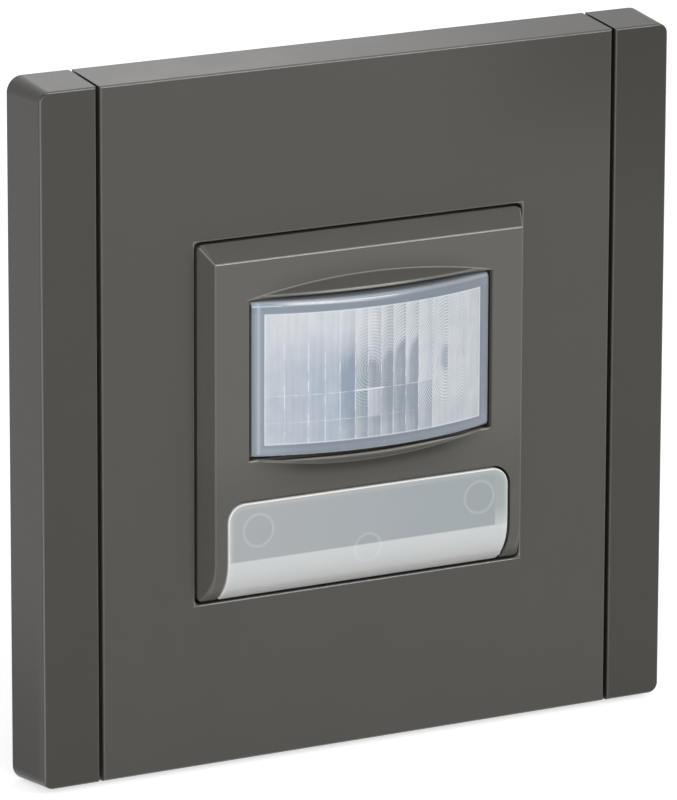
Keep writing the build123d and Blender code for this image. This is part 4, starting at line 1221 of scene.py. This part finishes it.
@dataclass
class Insert(SubAssembly):
    """The insert in the wall box: housing, lid, board with its parts, and terminals."""

    finishes: dict[str, object] = field(default_factory=lambda: {
        "module_housing": HOUSING_PLASTIC, "module_lid": GREY_PLASTIC, "power_board": GREEN_LAMINATE,
        "header_socket": BLACK_PLASTIC, "relay": RELAY_PLASTIC, "film_capacitor": CAPACITOR_PLASTIC,
        "electrolytic_capacitor": SLEEVE_PLASTIC, "bridge_rectifier": BLACK_PLASTIC,
        "suppressor_choke": FERRITE, "fuse": RELAY_PLASTIC, "varistor": VARISTOR_COATING,
        "terminal_block": GREY_PLASTIC, "terminal_clamps": CLAMP_BRASS, "terminal_screws": ZINC_STEEL})


# Studio


class SeenRay(Enum):
    """The rays that see the white surroundings as they are."""

    CAMERA = "Is Camera Ray"
    GLOSSY = "Is Glossy Ray"
    TRANSMISSION = "Is Transmission Ray"


@dataclass
class Softbox:
    """A rectangular lamp with an even white face."""

    name: str
    place: tuple[float, float, float]
    width: float
    height: float
    power: float
    target: tuple[float, float, float] = (0.0, 0.0, 0.0)

    def build(self) -> None:
        """Makes the lamp and turns it to its target."""
        lamp = bpy.data.lights.new(self.name, "AREA")
        lamp.shape = "RECTANGLE"
        lamp.size = self.width
        lamp.size_y = self.height
        lamp.energy = self.power
        made = bpy.data.objects.new(self.name, lamp)
        made.location = self.place
        made.visible_camera = False
        away = Vector(self.place) - Vector(self.target)
        made.rotation_euler = away.to_track_quat("Z", "Y").to_euler()
        bpy.context.scene.collection.objects.link(made)


@dataclass
class Studio:
    """Pale floor, white surroundings, softboxes and the camera. Angles are in degrees."""

    floor_height: float
    floor_size: float = 12.0
    floor_colour: Colour = (0.90, 0.90, 0.90)
    floor_glow: float = 0.62
    fill: float = 0.42
    softboxes: tuple[Softbox, ...] = (
        Softbox("front_softbox", (-0.5, -1.5, 0.25), 0.9, 0.9, 14.0),
        Softbox("edge_softbox", (0.69, -1.11, 0.72), 0.35, 0.35, 5.0),
        Softbox("back_softbox", (0.27, 1.4, 0.45), 1.0, 0.8, 2.15, (0.0, 0.0, 0.04)))
    camera_place: tuple[float, float, float] = (-0.4080, -0.7532, 0.2280)
    camera_yaw: float = 28.51
    camera_pitch: float = -14.99
    camera_roll: float = 0.19
    focal_pixels: float = 7148.0
    picture_height: float = 800.0
    sensor: float = 36.0
    far_end: float = 50.0

    def seen_directly(self, graph: Graph) -> Signal:
        """Mask for rays from the camera, and for reflected and refracted ones."""
        path = graph.node("LightPath")
        return largest(*(Signal(graph, path.outputs[ray.value]) for ray in SeenRay))

    def build_world(self) -> None:
        """White surroundings that light the switch from all sides at a plain level."""
        world = bpy.data.worlds.new("studio_world")
        world.use_nodes = True
        graph = Graph(world.node_tree)
        choice = graph.node("MixShader")
        graph.feed(choice.inputs[0], self.seen_directly(graph))
        for socket, strength in zip(choice.inputs[1:], (self.fill, 1.0)):
            background = graph.node("Background")
            graph.fill(background, Color=WHITE, Strength=strength)
            graph.feed(socket, background.outputs[0])
        graph.fill(graph.node("OutputWorld"), Surface=choice.outputs[0])
        bpy.context.scene.world = world

    def floor_material(self) -> bpy.types.Material:
        """Pale matt floor that looks white to the camera where no shadow falls."""
        material = bpy.data.materials.new("studio_floor")
        material.use_nodes = True
        graph = Graph(material.node_tree)
        vector, *_ = graph.place()
        matt = graph.node("BsdfDiffuse")
        cloud = graph.noise(vector, 0.4)
        graph.fill(matt, Color=graph.mix(cloud, toned(self.floor_colour, 0.98), self.floor_colour))
        glow = graph.node("Emission")
        graph.fill(glow, Strength=self.seen_directly(graph) * self.floor_glow)
        both = graph.node("AddShader")
        graph.feed(both.inputs[0], matt.outputs[0])
        graph.feed(both.inputs[1], glow.outputs[0])
        graph.fill(graph.node("OutputMaterial"), Surface=both.outputs[0])
        return material

    def build_floor(self) -> None:
        """Makes the floor under the switch."""
        shape = bmesh.new()
        bmesh.ops.create_grid(shape, x_segments=2, y_segments=2, size=self.floor_size / 2)
        bmesh.ops.translate(shape, verts=shape.verts, vec=(0.0, 0.0, self.floor_height))
        add_object("studio_floor", shape, self.floor_material())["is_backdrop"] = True

    def build_camera(self) -> None:
        """The camera at the photograph's viewing angle."""
        yaw, pitch, roll = map(math.radians, (self.camera_yaw, self.camera_pitch, self.camera_roll))
        ahead = Vector((math.sin(yaw) * math.cos(pitch), math.cos(yaw) * math.cos(pitch), math.sin(pitch)))
        level = Vector((math.cos(yaw), -math.sin(yaw), 0.0))
        right = math.cos(roll) * level + math.sin(roll) * level.cross(ahead)
        turn = Matrix((right, right.cross(ahead), -ahead)).transposed()
        lens = bpy.data.cameras.new("studio_camera")
        lens.sensor_width = self.sensor
        lens.lens = self.focal_pixels * self.sensor / self.picture_height
        lens.clip_end = self.far_end
        camera = bpy.data.objects.new("studio_camera", lens)
        camera.matrix_world = Matrix.Translation(self.camera_place) @ turn.to_4x4()
        bpy.context.scene.collection.objects.link(camera)
        bpy.context.scene.camera = camera

    def build(self) -> None:
        """Makes the whole studio."""
        self.build_world()
        self.build_floor()
        self.build_camera()
        for softbox in self.softboxes:
            softbox.build()
        bpy.context.scene.view_settings.view_transform = "Standard"
        log.info("studio: floor, world, camera and %d softboxes", len(self.softboxes))


def main() -> None:
    """Loads the frame, dresses each sub-assembly and builds the studio."""
    logging.basicConfig(level=logging.INFO, format="%(message)s")
    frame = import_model()
    solid_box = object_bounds()
    for kind in (FrameFronts, SupportPlate, SensorHead, Insert):
        part = kind(frame["nodes"])
        part.dress()
        part.add_pieces()
    Studio(floor_height=solid_box[0].z).build()


if __name__ == "__main__":
    main()
